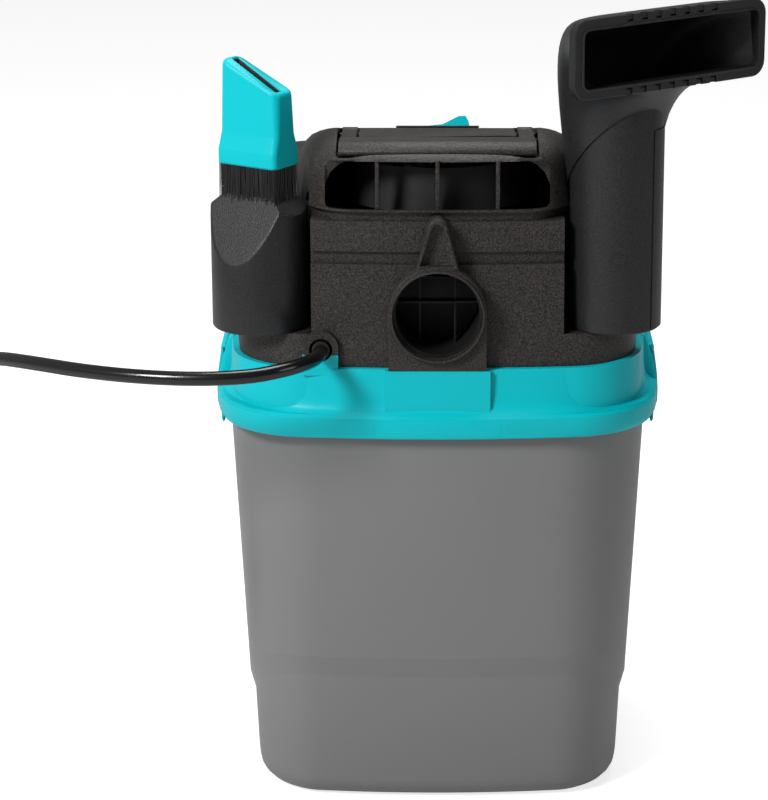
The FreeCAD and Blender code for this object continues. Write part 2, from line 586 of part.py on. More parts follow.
for side, word in ((-1, "left"), (1, "right")):
    x_low, x_high = ("9.3", "20") if side > 0 else ("-20", "-9.3")
    brush = box("carbon_brush_block_" + word, (x_low, x_high), ("-2.5", "2.5"),
                ("stator_high + 3", "stator_high + 7.5"))
    node(brush, "carbon_brush_" + word)
    h_low, h_high = ("13", "stator - 0.5") if side > 0 else ("-stator + 0.5", "-13")
    holder = box("brush_holder_block_" + word, (h_low, h_high), ("-5", "5"),
                 ("stator_high + 2.6", "stator_high + 7.9"))
    slot = box("brush_holder_slot_" + word, ("-24", "24"), ("-2.55", "2.55"),
               ("stator_high + 2.95", "stator_high + 7.55"))
    node(cut("brush_holder_part_" + word, holder, slot), "brush_holder_" + word)

# ---------------------------------------------------------------- top cap
def side_profile(name, inset):
    """The cap's side view, padded across X: it rises to a ridge and falls to the front."""
    piece = body(name)
    sketch = sketch_on(piece, "YZ_Plane", "0")
    front = "(cap_deep - 2)"
    outline(sketch, [
        ("-cap_deep - 4", "housing_top"), ("-cap_deep - 4", "cap_base"),
        ("-cap_deep + 4 + %s" % inset, "ridge_height - 11 - %s" % inset),
        ("-cap_deep + 7 + %s" % inset, "ridge_height - 6.4 - %s" % inset),
        ("-ridge_back", "ridge_height - %s" % inset),
        ("%s - 10 - %s" % (front, inset),
         "ridge_height - top_slope * (%s - 10 + ridge_back) - %s" % (front, inset)),
        (front + " - " + inset, "ridge_height - top_slope * (%s + ridge_back) - 6" % front),
        ("cap_deep + 4", "cap_base"), ("cap_deep + 4", "housing_top")])
    pad(piece, sketch, "4 * cap_half", "profile", both=True)
    return piece


cap_plan = body("cap_plan_outer")
loft(cap_plan, [("cap_base", "cap_half", "cap_deep", "cap_corner"),
                ("ridge_height - 14", "cap_half - 6", "cap_deep - 3", "cap_corner - 2"),
                ("ridge_height - 5", "cap_half - 14", "cap_deep - 6", "cap_corner - 6"),
                ("ridge_height + 1", "cap_half - 26", "cap_deep - 16", "cap_corner - 14")], "cap")
neck_sketch = sketch_on(cap_plan, "XY_Plane", "housing_top", "neck_plan")
soft_rectangle(neck_sketch, "cap_half - neck_inset", "cap_deep - neck_inset", "cap_corner - neck_inset")
pad(cap_plan, neck_sketch, "cap_base - housing_top", "neck")
cap_core = body("cap_plan_inner")
loft(cap_core, [("housing_top", "cap_half - neck_inset - cap_wall", "cap_deep - neck_inset - cap_wall",
                 "cap_corner - 6"),
                ("ridge_height - 14", "cap_half - 6 - cap_wall", "cap_deep - 3 - cap_wall",
                 "cap_corner - 6"),
                ("ridge_height - 5", "cap_half - 14 - cap_wall", "cap_deep - 6 - cap_wall",
                 "cap_corner - 10"),
                ("ridge_height + 1", "cap_half - 26 - cap_wall", "cap_deep - 16 - cap_wall",
                 "cap_corner - 18")],
     "cap")
cap_scoops = []
cap_scoop_walls = []
for side in (-1, 1):
    at = ("%d * tool_x" % side, "-tool_y", "housing_top - 1")
    scoop_half = ("crevice_half" if side < 0 else "nozzle_half") + " + cap_gap"
    cap_scoops.append(rod("cap_scoop_%d" % (side + 1), scoop_half, "80", *at))
    cap_scoop_walls.append(rod("cap_scoop_wall_%d" % (side + 1), scoop_half + " + cap_wall", "80", *at))
cap_block = common("cap_block", [cap_plan, side_profile("cap_side_outer", "0")])
cap_outer = cut("cap_outer", cap_block, fused("cap_scoops", cap_scoops))
cap_hollow = common("cap_hollow", [cap_core, side_profile("cap_side_inner", "cap_wall")])
cap_inner = cut("cap_inner", cap_hollow, fused("cap_scoop_walls", cap_scoop_walls))
SLOT_IN = "(grip_half - arm_wide - arm_gap)"
SLOT_OUT = "(grip_half + arm_gap)"
tub_grip = box("tub_grip", ("-%s - 3" % SLOT_OUT, "%s + 3" % SLOT_OUT),
               ("-handle_y - grip_back - 5", "-handle_y - grip_front + 5"), ("handle_z - 9", "400"))
recess_grip = box("recess_grip", ("-" + SLOT_OUT, SLOT_OUT),
                  ("-handle_y - grip_back - 1.8", "-handle_y - grip_front + 2"),
                  ("handle_z - 6", "400"))
tubs, recesses = [tub_grip], [recess_grip]
for side in (-1, 1):
    low, high = (SLOT_IN, SLOT_OUT) if side > 0 else ("-" + SLOT_OUT, "-" + SLOT_IN)
    tubs.append(box("tub_arm_%d" % (side + 1), (low + " - 3", high + " + 3"),
                    ("-handle_y - grip_front", "-handle_y + 10"), ("handle_z - 9", "400")))
    recesses.append(box("recess_arm_%d" % (side + 1), (low, high),
                        ("-handle_y - grip_front", "-handle_y + 7"), ("handle_z - 6", "400")))
tub = common("cap_tub", [fused("tub_blocks", tubs), cap_outer])
windows = []
CELL = "((2 * window_half - 3 * window_rib) / 4)"
for index in range(4):
    low = "-window_half + %d * (%s + window_rib)" % (index, CELL)
    windows.append(box("window_%d" % index, (low, low + " + " + CELL), ("-cap_deep - 6", "-cap_deep + 8"),
                       ("window_low", "window_high")))
ribs = []
for index in range(1, 4):
    low = "-window_half + %d * (%s + window_rib) - window_rib" % (index, CELL)
    ribs.append(box("window_rib_%d" % index, (low, low + " + window_rib"),
                    ("-cap_deep + 2.5", "-cap_deep + 9"),
                    ("window_low - 1", "window_high - 4")))
switch_seat = "ridge_height - top_slope * (switch_y + ridge_back)"
switch_cut = box("switch_cut", ("-switch_half - 0.5", "switch_half + 0.5"),
                 ("-switch_wide - 0.5", "switch_wide + 0.5"),
                 ("-30", "20"))
place(switch_cut, "0", "0", "0", -number("switch_tilt"), (1, 0, 0))
switch_cut.setExpression("Placement.Base.x", bound("-switch_half - 0.5"))
switch_cut.setExpression("Placement.Base.y", bound(
    "switch_y - (switch_wide + 0.5) * cos(switch_tilt) - 12 * sin(switch_tilt)"))
switch_cut.setExpression("Placement.Base.z", bound(
    switch_seat + " + (switch_wide + 0.5) * sin(switch_tilt) - 12 * cos(switch_tilt)"))
pin_holes = rod("handle_pin_hole", "handle_pin", "2 * (%s + 3.4)" % SLOT_OUT, "-(%s + 3.4)" % SLOT_OUT,
                "-handle_y",
                "handle_z", 90, (0, 1, 0))
cap_shell = cut("cap_shell", cap_outer, cap_inner)
cap_solid = fused("cap_solid", [cap_shell, tub])
cap_cuts = fused("cap_cuts", recesses + windows + [switch_cut, pin_holes])
cap = fused("cap_part", [cut("cap_opened", cap_solid, cap_cuts)] + ribs)
node(cap, "top_cap")

baffle = turned("air_baffle_turned", [
    ("52", "housing_top + 3"), ("54", "housing_top + 3"), ("54", "handle_z - 9"), ("52", "handle_z - 9")])
baffle_half = box("air_baffle_keep", ("-50", "50"), ("-100", "-30"), ("housing_top", "housing_top + 30"))
node(common("air_baffle_part", [baffle, baffle_half]), "air_baffle")

# ---------------------------------------------------------------- carry handle and its pins
def handle_block(name, x, y, z):
    """A block given in the handle's own frame, whose origin is on the pivot."""
    piece = box(name, x, y, z)
    corner = piece.Placement.Base
    tilt_turn = FreeCAD.Rotation(Vector(1, 0, 0), -number("handle_tilt"))
    piece.Placement = FreeCAD.Placement(Vector(0, 0, 0), tilt_turn) * FreeCAD.Placement(corner,
                                                                                        FreeCAD.Rotation())
    piece.setExpression("Placement.Base.x", bound(x[0]))
    piece.setExpression("Placement.Base.y", bound(
        "-handle_y + (%s) * cos(handle_tilt) + (%s) * sin(handle_tilt)" % (y[0], z[0])))
    piece.setExpression("Placement.Base.z", bound(
        "handle_z - (%s) * sin(handle_tilt) + (%s) * cos(handle_tilt)" % (y[0], z[0])))
    return piece


handle_parts = [handle_block("handle_grip", ("-grip_half", "grip_half"), ("-grip_back", "-grip_front"),
                             ("-3", "4.5"))]
for side in (-1, 1):
    low, high = ("grip_half - arm_wide", "grip_half") if side > 0 else ("-grip_half",
                                                                        "-grip_half + arm_wide")
    handle_parts.append(handle_block("handle_arm_%d" % (side + 1), (low, high), ("-grip_front - 2", "0"),
                                     ("-3", "4")))
    handle_parts.append(rod("handle_knuckle_%d" % (side + 1), "5", "arm_wide", low, "-handle_y",
                            "handle_z", 90,
                            (0, 1, 0)))
handle_bore = rod("handle_bore", "handle_pin + fit", "2 * grip_half + 4", "-grip_half - 2", "-handle_y",
                  "handle_z", 90,
                  (0, 1, 0))
node(cut("handle_part", fused("handle_solid", handle_parts), handle_bore), "carry_handle")
for side, word in ((-1, "left"), (1, "right")):
    start = SLOT_IN + " - 2.9" if side > 0 else "-(%s + 2.9)" % SLOT_OUT
    pin = rod("handle_pin_part_" + word, "handle_pin - 0.02", "%s - %s + 5.8" % (SLOT_OUT, SLOT_IN), start,
              "-handle_y", "handle_z", 90, (0, 1, 0))
    node(pin, "handle_pin_" + word)

# ---------------------------------------------------------------- power switch
def on_slope(piece, x="0", y="0", z="0"):
    """Seat a piece whose frame is the switch's: its own Z stands square to the cap's front slope."""
    rotation = FreeCAD.Rotation(Vector(1, 0, 0), -number("switch_tilt"))
    piece.Placement = FreeCAD.Placement(Vector(number(x), 0, 0), rotation)
    piece.setExpression("Placement.Base.x", bound(x))
    piece.setExpression("Placement.Base.y", bound(
        "switch_y + (%s) * cos(switch_tilt) + (%s) * sin(switch_tilt)" % (y, z)))
    piece.setExpression("Placement.Base.z", bound(
        switch_seat + " - (%s) * sin(switch_tilt) + (%s) * cos(switch_tilt)" % (y, z)))
    return piece


bezel_parts = [
    on_slope(box("bezel_flange", ("0", "2 * switch_half + 6"), ("0", "2 * switch_wide + 6"), ("0", "1.4")),
             "-switch_half - 3", "-switch_wide - 3", "0.1"),
    on_slope(box("bezel_walls", ("0", "2 * switch_half"), ("0", "2 * switch_wide"), ("0", "11.5")),
             "-switch_half", "-switch_wide", "-11")]
bezel_hole = on_slope(box("bezel_hole", ("0", "2 * switch_half - 3"), ("0", "2 * switch_wide - 3"),
                          ("0", "20")),
                      "-switch_half + 1.5", "-switch_wide + 1.5", "-12")
node(cut("bezel_part", fused("bezel_solid", bezel_parts), bezel_hole), "switch_bezel")
rocker_body = body("rocker_body")
rocker_side = sketch_on(rocker_body, "XZ_Plane")
outline(rocker_side, [("-switch_half + 2.3", "-3.4"), ("-3", "-5.6"), ("3", "-5.6"),
                      ("switch_half - 2.3", "0"),
                      ("switch_half - 3.2", "4.4"), ("switch_half - 5", "7.4"), ("switch_half - 9", "7.2"),
                      ("3", "2.4"), ("-switch_half + 2.6", "0.2")])
pad(rocker_body, rocker_side, "2 * switch_wide - 4", "rocker", both=True)
rocker_pin = rod("rocker_pin", "1.5", "2 * switch_wide - 3.4", "0", "switch_wide - 1.7", "-3", 90)
rocker = fused("rocker_solid", [rocker_body, rocker_pin])
node(on_slope(rocker), "switch_rocker")
switch_base = on_slope(box("switch_base", ("0", "30"), ("0", "2 * switch_wide - 2"), ("0", "15")),
                       "-15", "-switch_wide + 1", "-26")
node(switch_base, "switch_body")

# ---------------------------------------------------------------- float cage, float and filter
cage_body = body("cage_body")
cage_side = sketch_on(cage_body, "XZ_Plane")
outline(cage_side, [("0", "cage_low"), ("cage_out", "cage_low"),
                    ("cage_out", "collar_top - deck_thick - 3"),
                    ("cage_out + 6", "collar_top - deck_thick - 3"), ("cage_out + 6",
                                                                      "collar_top - deck_thick"),
                    ("cage_out - cage_wall", "collar_top - deck_thick"), ("cage_out - cage_wall",
                                                                          "cage_low + 3"),
                    ("0", "cage_low + 3")])
cage_turned = cage_body.newObject("PartDesign::Revolution", "Turned")
cage_turned.Profile = cage_side
cage_turned.ReferenceAxis = (cage_side, ["V_Axis"])
cage_turned.Angle = 360
cage_body.Tip = cage_turned
cage_slots = []
for index in range(4):
    slot = box("cage_slot_%d" % index, ("-9", "9"), ("-cage_out - 2", "cage_out + 2"),
               ("filter_low + 6", "filter_high - 8"))
    turn = 45 * index
    slot.Placement = FreeCAD.Placement(Vector(0, 0, 0),
                                       FreeCAD.Rotation(Vector(0, 0, 1), turn)) * slot.Placement
    slot.setExpression("Placement.Base.x", bound("-9 * cos(%d) + (cage_out + 2) * sin(%d)" % (turn, turn)))
    slot.setExpression("Placement.Base.y", bound("-9 * sin(%d) - (cage_out + 2) * cos(%d)" % (turn, turn)))
    cage_slots.append(slot)
node(cut("float_cage_part", cage_body, fused("cage_slots", cage_slots)), "float_cage")
ball = doc.addObject("Part::Sphere", "float_sphere")
ball.setExpression("Radius", bound("float_half"))
node(place(ball, "0", "0", "cage_low + 3 + float_half + latch_gap"), "float_ball")
node(ring("filter_media_turned", "filter_in", "filter_out", "filter_low", "filter_high"), "filter_media")
node(ring("filter_top_turned", "cage_out + latch_gap", "filter_out + 2", "filter_high",
          "filter_high + filter_cap - 1"),
     "filter_cap_top")
node(disc_solid("filter_bottom_turned", "filter_out + 2", "filter_low - filter_cap", "filter_low"),
     "filter_cap_bottom")

# ---------------------------------------------------------------- hand tools
def tool_place(piece, side):
    """Stand a tool made about +Z on its post and turn it outwards."""
    turn = "crevice_turn" if side < 0 else "nozzle_turn"
    place(piece, "%d * tool_x" % side, "-tool_y", "0", number(turn), (0, 0, 1))
    return piece


def round_levels(levels):
    """Levels (height, radius) whose plan is round, as a soft rectangle that is nearly all corner."""
    return [(height, half, half, "(%s) - 0.4" % half) for height, half in levels]


crevice = body("crevice_outer")
loft(crevice, round_levels([("shelf_height", "crevice_half"), ("crevice_shoulder", "crevice_half")]) +
     [("blade_start", "blade_half + 1", "blade_thick + 2", "blade_thick"),
      ("blade_top", "blade_half", "blade_thick", "blade_thick - 1")], "tool")
crevice_in = body("crevice_inner")
loft(crevice_in, round_levels([("shelf_height - 1", "crevice_half - tool_wall"),
                               ("crevice_shoulder", "crevice_half - tool_wall")]) +
     [("blade_start", "blade_half + 1 - tool_wall", "blade_thick + 2 - tool_wall",
       "blade_thick - tool_wall"),
      ("blade_top + 1", "blade_half - tool_wall", "blade_thick - tool_wall",
       "blade_thick - tool_wall - 0.6")],
     "tool")
node(tool_place(cut("crevice_part", crevice, crevice_in), -1), "crevice_tool")

head_body = body("brush_head_body")
loft(head_body, [("head_low", "head_half + 1.6", "head_deep + 0.6", "5"),
                 ("head_low + 5", "head_half + 1.6", "head_deep + 0.6", "5"),
                 ("head_low + 17", "head_half + 0.4", "head_deep", "5"),
                 ("head_left + 4", "head_half - 1.4", "head_deep - 4", "4")], "head")
head_side = body("brush_head_side")
head_profile = sketch_on(head_side, "XZ_Plane")
outline(head_profile, [("-40", "head_low - 5"), ("40", "head_low - 5"), ("40", "head_right - 7"),
                       ("head_half", "head_right"), ("-head_half + 6", "head_left"), ("-head_half - 1",
                                                                                      "head_left - 3"),
                       ("-40", "head_left - 8")])
pad(head_side, head_profile, "60", "side", both=True)
head_hole = body("brush_head_hole")
loft(head_hole, [("head_low - 1", "blade_half + 1.2", "blade_thick + 1.6", "5"),
                 ("blade_top + 1", "blade_half + 0.4", "blade_thick + 0.4", "5"),
                 ("head_left + 6", "blade_half - 3", "2.6", "2")], "hole")
node(tool_place(cut("brush_head_part", common("brush_head_solid", [head_body, head_side]), head_hole), -1),
     "brush_head")
bristle_body = body("bristle_body")
loft(bristle_body, [("bristle_low", "head_half + 1", "head_deep + 1.6", "6"),
                    ("head_low", "head_half + 1", "head_deep", "5")], "bristles")
bristle_hole = body("bristle_hole")
loft(bristle_hole, [("bristle_low - 1", "blade_half + 1.6", "blade_thick + 2.5", "6"),
                    ("head_low + 1", "blade_half + 1.2", "blade_thick + 1.6", "6")], "hole")
node(tool_place(cut("bristle_part", bristle_body, bristle_hole), -1), "brush_bristles")


def mouth_section(piece, name, reach, height, lean, wide, tall, corner):
    """A section of the nozzle's bend: it stands at a reach in front of the tube's axis and leans."""
    sketch = piece.newObject("Sketcher::SketchObject", name)
    plane = [item for item in piece.Origin.OriginFeatures if item.Role == "XY_Plane"][0]
    sketch.AttachmentSupport = [(plane, "")]
    sketch.MapMode = "FlatFace"
    place_at = Vector(0, -number(reach), number(height))
    sketch.AttachmentOffset = FreeCAD.Placement(place_at, FreeCAD.Rotation(Vector(1, 0, 0), lean))
    sketch.setExpression(".AttachmentOffset.Base.y", bound("-(%s)" % reach))
    sketch.setExpression(".AttachmentOffset.Base.z", bound(height))
    soft_rectangle(sketch, wide, tall, corner)
    return sketch


def bend(name, wall, extra):
    """The nozzle from its tube to its mouth; wall is taken off every section."""
    piece = body(name)
    loft(piece, round_levels([("shelf_height - %s" % extra, "nozzle_half - %s" % wall),
                                      ("neck_start", "nozzle_half - %s" % wall)]), "tube")
    sections = [
        mouth_section(piece, "bend_0", "0", "neck_start", 0, "nozzle_half - %s" % wall,
                      "nozzle_half - %s" % wall,
                      "nozzle_half - 0.4 - %s" % wall),
        mouth_section(piece, "bend_1", "3", "neck_start + 28", 22, "nozzle_half + 6 - %s" % wall,
                      "nozzle_half - %s" % wall, "nozzle_half - 3 - %s" % wall),
        mouth_section(piece, "bend_2", "14", "neck_start + 54", 58, "mouth_half - 18 - %s" % wall,
                      "mouth_tall + 4 - %s" % wall, "12 - %s" % wall),
        mouth_section(piece, "bend_3", "mouth_reach - 12", "mouth_height - 2", 84,
                      "mouth_half - 4 - %s" % wall,
                      "mouth_tall - 1 - %s" % wall, "8 - %s" % wall),
        mouth_section(piece, "bend_4", "mouth_reach + %s" % extra, "mouth_height", 90,
                      "mouth_half - %s" % wall,
                      "mouth_tall - %s" % wall, "8 - %s" % wall)]
    feature = piece.newObject("PartDesign::AdditiveLoft", "bend")
    feature.Profile = sections[0]
    feature.Sections = sections[1:]
    feature.Ruled = True
    piece.Tip = feature
    return piece


node(tool_place(cut("nozzle_part", bend("nozzle_outer", "0", "0"),
                    bend("nozzle_inner", "tool_wall", "1")), 1),
     "utility_nozzle")

# ---------------------------------------------------------------- mains cord
gland_plate = box("gland_plate", ("-cord_x - gland_half", "-cord_x + gland_half"),
                  ("-housing_half - 1.2", "-housing_half + gland_back"),
                  ("cord_height - 2.7", "cord_height + 1"))
gland_arch = rod("gland_arch", "gland_half", "gland_back + 1.2", "-cord_x", "-housing_half + gland_back",
                 "cord_height + 1", 90)
gland_sleeve = rod("gland_sleeve", "gland_hole + 1.9", "10", "-cord_x", "-housing_half + 13",
                   "cord_height", 90)
gland_bore = rod("gland_bore", "gland_hole", "40", "-cord_x", "-housing_half + 20", "cord_height", 90)
gland_low = box("gland_low", ("-cord_x - 12", "-cord_x + 12"), ("-housing_half - 6", "-housing_half + 2.5"),
                ("cord_height - 20", "cord_height - 2.9"))
node(cut("gland_part", fused("gland_solid", [gland_plate, gland_arch, gland_sleeve]),
         fused("gland_cuts", [gland_bore, gland_low])), "cord_gland")
relief = turned("relief_turned", [("0", "0"), ("relief_half", "0"), ("relief_half", "4"),
                                  ("cord / 2 + 0.8", "relief_long"), ("0", "relief_long")])
node(place(relief, "-cord_x", "-exit_y + relief_long", "cord_height", 90, (1, 0, 0)), "strain_relief")

LEAD = [
    (-64.0, -117.0, 272.0), (-64.2, -134.0, 273.2), (-71.2, -151.2, 274.2), (-84.4, -164.4, 274.0),
    (-101.6, -171.4, 272.8), (-129.0, -171.8, 271.8), (-161.0, -164.0, 271.0), (-192.0, -148.0, 269.6),
    (-220.0, -126.0, 267.6), (-245.0, -99.0, 263.0), (-266.0, -72.0, 253.6), (-283.0, -49.0, 237.0),
    (-295.0, -31.0, 213.0), (-302.0, -18.0, 184.0), (-306.0, -8.0, 151.0), (-308.5, -1.0, 118.0),
    (-309.3, 2.6, 90.0), (-309.2, 7.2, 66.0), (-309.0, 15.0, 48.6), (-309.0, 27.4, 35.0),
    (-309.0, 44.0, 27.8), (-309.0, 62.0, 27.7)]
TAIL = [(-357.0, 126.0, 5.0), (-374.0, 126.6, 6.6), (-392.0, 129.2, 8.8), (-408.0, 133.6, 9.8)]


def cord_tube(name, route):
    """A round cord along straight runs that meet in arcs as large as the runs allow."""
    points = [Vector(*spot) for spot in route]
    edges = []
    start = points[0]
    radii = []
    for before, corner, after in zip(points, points[1:], points[2:]):
        way_in = (corner - before).normalize()
        way_out = (after - corner).normalize()
        turn = way_in.getAngle(way_out)
        trim = 0.45 * min((corner - before).Length, (after - corner).Length)
        radii.append(trim / math.tan(turn / 2))
        enter = corner - way_in * trim
        leave = corner + way_out * trim
        inward = (way_out - way_in).normalize()
        middle = corner + inward * (radii[-1] / math.cos(turn / 2) - radii[-1])
        edges.append(Part.LineSegment(start, enter).toShape())
        edges.append(Part.Arc(enter, middle, leave).toShape())
        start = leave
    edges.append(Part.LineSegment(start, points[-1]).toShape())
    path = Part.Wire(edges)
    first_way = (points[1] - points[0]).normalize()
    section = Part.Wire([Part.Circle(points[0], first_way, number("cord") / 2).toShape()])
    tube = path.makePipeShell([section], True, True)
    expected = math.pi * (number("cord") / 2) ** 2 * path.Length
    print("%s: length %.1f, radii %s, volume %.0f of %.0f" % (
        name, path.Length, [round(radius) for radius in radii], tube.Volume, expected))
    piece = doc.addObject("Part::Feature", name)
    piece.Shape = tube
    piece.Placement = FreeCAD.Placement()
    return piece


node(cord_tube("lead_tube", LEAD), "cord_lead")
coil = ring("coil_turned", "coil_middle - coil_wide / 2", "coil_middle + coil_wide / 2", "0", "coil_tall")
node(place(coil, "-coil_x", "coil_y", "0"), "cord_coil")
node(cord_tube("tail_tube", TAIL), "cord_tail")
tie_outer = box("tie_outer", ("-coil_wide / 2 - 1.6", "coil_wide / 2 + 1.6"), ("-5", "5"),
                ("0", "coil_tall + 1.5"))
tie_inner = box("tie_inner", ("-coil_wide / 2", "coil_wide / 2"), ("-6", "6"), ("-1", "coil_tall"))
tie = cut("tie_part", tie_outer, tie_inner)
node(place(tie, "-coil_x - coil_middle", "coil_y", "0"), "cord_tie")
away = (Vector(*TAIL[-1]) - Vector(*TAIL[-2]))
away.z = 0
away.normalize()
plug_turn = FreeCAD.Rotation(Vector(-away.y, away.x, 0), Vector(0, 0, 1), away, "XYZ")


def on_plug(piece):
    """Lay a piece made along +Z on the floor, in line with the cord's end."""
    piece.Placement = FreeCAD.Placement(Vector(*TAIL[-1]), plug_turn) * piece.Placement
    return piece


boot = turned("boot_turned", [("0", "0"), ("cord / 2 + 0.6", "0"), ("7", "26"), ("7", "30"), ("0", "30")])
node(on_plug(boot), "plug_boot")
plug = body("plug_outer")
loft(plug, [("30", "9", "8", "5"), ("37", "12.5", "9", "4"), ("64", "13.5", "9.5", "3"),
            ("66", "12.8", "8.8", "3")],
     "plug")
node(on_plug(plug), "plug_body")
blades = []
for side in (-1, 1):
    middle = 6.35 * side
    blade = doc.addObject("Part::Box", "plug_blade_%d" % (side + 1))
    blade.Length, blade.Width, blade.Height = 1.5, 6.35, 17
    blade.Placement = FreeCAD.Placement(Vector(middle - 0.75, -3.175, 66), FreeCAD.Rotation())
    blades.append(on_plug(blade))
node(group("plug_blades_group", blades), "plug_blades")

# ---------------------------------------------------------------- checks and files
doc.recompute()
faults = [piece.Name for piece in doc.Objects if "Invalid" in piece.State or "Error" in piece.State]
faults += [piece.Label for piece in nodes if piece.Shape.isNull() or not piece.Shape.isValid()]
if faults:
    raise SystemExit("these objects failed: " + ", ".join(faults))
os.makedirs("parts", exist_ok=True)
for piece in nodes:
    piece.Shape.exportStep("parts/" + piece.Label + ".step")
print(len(nodes), "parts written")
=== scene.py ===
# %% [markdown]
# # A small wet and dry shop vacuum
# The machine is a square grey tank under a teal collar, with a black motor head on top.
# Two hand tools stand on posts at the rear corners, and the mains cord leaves low at the back.
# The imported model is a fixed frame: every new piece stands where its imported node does, and the
# heights that the pieces share are read from that node's box. Lengths here are millimetres
# until a shape is finished, and then it is scaled to metres.

# %% Load the frame
import bmesh
import bpy
import json
import math
import random
from mathutils import Matrix, Vector

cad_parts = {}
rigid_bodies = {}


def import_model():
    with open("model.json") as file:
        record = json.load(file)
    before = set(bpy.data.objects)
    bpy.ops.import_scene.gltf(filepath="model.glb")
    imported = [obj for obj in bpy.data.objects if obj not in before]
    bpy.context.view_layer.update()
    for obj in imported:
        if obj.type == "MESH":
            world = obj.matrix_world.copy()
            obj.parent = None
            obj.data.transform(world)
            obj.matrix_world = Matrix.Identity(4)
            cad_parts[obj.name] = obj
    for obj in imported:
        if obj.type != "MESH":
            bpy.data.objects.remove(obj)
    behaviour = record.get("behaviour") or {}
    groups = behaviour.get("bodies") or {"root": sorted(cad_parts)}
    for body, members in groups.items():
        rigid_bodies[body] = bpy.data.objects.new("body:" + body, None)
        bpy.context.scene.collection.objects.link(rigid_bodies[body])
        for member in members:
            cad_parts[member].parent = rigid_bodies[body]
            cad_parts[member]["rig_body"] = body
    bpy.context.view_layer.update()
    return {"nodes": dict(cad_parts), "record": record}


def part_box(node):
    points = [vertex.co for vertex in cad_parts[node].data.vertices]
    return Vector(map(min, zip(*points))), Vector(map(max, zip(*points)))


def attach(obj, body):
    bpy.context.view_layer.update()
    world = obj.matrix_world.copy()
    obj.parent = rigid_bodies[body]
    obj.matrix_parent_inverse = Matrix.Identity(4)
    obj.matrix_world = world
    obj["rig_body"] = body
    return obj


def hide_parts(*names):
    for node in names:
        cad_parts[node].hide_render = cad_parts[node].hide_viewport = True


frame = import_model()
MM = 0.001
NODES = frame["nodes"]
BODY_OF = {name: node["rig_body"] for name, node in NODES.items()}
SLOT_OF = {entry["node"]: entry["material_slot"] for entry in frame["record"]["subparts"]}

# %% [markdown]
# ## Camera, light and floor
# The view looks a little down on the rear of the machine from almost two metres away, through a
# long lens, so upright edges stay nearly parallel. A pale floor and broad soft lights keep the
# dark plastics readable: the main light stands on the left, so the tank darkens to the right.

# %% Camera
CAMERA_PITCH = math.radians(16.8)
CAMERA_REACH = 1.8
LOOK_HEIGHT = 0.2085
SENSOR_WIDTH = 36
LENS = 143
FRAME_SHIFT = -0.0697
camera_data = bpy.data.cameras.new("camera")
camera_data.sensor_fit = "HORIZONTAL"
camera_data.sensor_width = SENSOR_WIDTH
camera_data.lens = LENS
camera_data.shift_x = FRAME_SHIFT
camera = bpy.data.objects.new("camera", camera_data)
camera.location = (0, -CAMERA_REACH * math.cos(CAMERA_PITCH),
                   LOOK_HEIGHT + CAMERA_REACH * math.sin(CAMERA_PITCH))
camera.rotation_euler = (math.radians(90) - CAMERA_PITCH, 0, 0)
bpy.context.scene.collection.objects.link(camera)
bpy.context.scene.camera = camera
bpy.context.scene.view_settings.view_transform = "Standard"
print("camera at:", tuple(round(value, 3) for value in camera.location))


# %% Lights
def soft_light(name, place, target, size, power):
    """A square lamp that faces a point."""
    lamp = bpy.data.lights.new(name, "AREA")
    lamp.size = size
    lamp.energy = power
    holder = bpy.data.objects.new(name, lamp)
    holder.location = place
    holder.rotation_euler = (Vector(target) - Vector(place)).to_track_quat("-Z", "Y").to_euler()
    bpy.context.scene.collection.objects.link(holder)
    print(name, "watts:", power)


MIDDLE = (0, 0, 0.25)
soft_light("light_key", (-1.25, -1.35, 1.55), MIDDLE, 0.55, 46)
soft_light("light_right", (1.7, -0.7, 0.9), MIDDLE, 0.7, 4)
soft_light("light_top", (0.1, 0.35, 1.9), MIDDLE, 0.9, 22)

# %% Light from the room
# The camera sees plain white all round. The machine is lit more from the left than the right.
ROOM_LEFT, ROOM_RIGHT = 0.42, 0.03
world = bpy.data.worlds.new("studio")
world.use_nodes = True
sky = world.node_tree.nodes["Background"]
sky.inputs["Color"].default_value = (1, 1, 1, 1)
tree = world.node_tree
rays = tree.nodes.new("ShaderNodeLightPath")
direction = tree.nodes.new("ShaderNodeTexCoord")
parts = tree.nodes.new("ShaderNodeSeparateXYZ")
tree.links.new(direction.outputs["Generated"], parts.inputs["Vector"])
side = tree.nodes.new("ShaderNodeMapRange")
side.inputs["From Min"].default_value = -1
side.inputs["From Max"].default_value = 0.8
side.inputs["To Min"].default_value = ROOM_LEFT
side.inputs["To Max"].default_value = ROOM_RIGHT
tree.links.new(parts.outputs["X"], side.inputs["Value"])
level = tree.nodes.new("ShaderNodeMix")
tree.links.new(rays.outputs["Is Camera Ray"], level.inputs["Factor"])
tree.links.new(side.outputs["Result"], level.inputs["A"])
level.inputs["B"].default_value = 1.0
tree.links.new(level.outputs["Result"], sky.inputs["Strength"])
bpy.context.scene.world = world
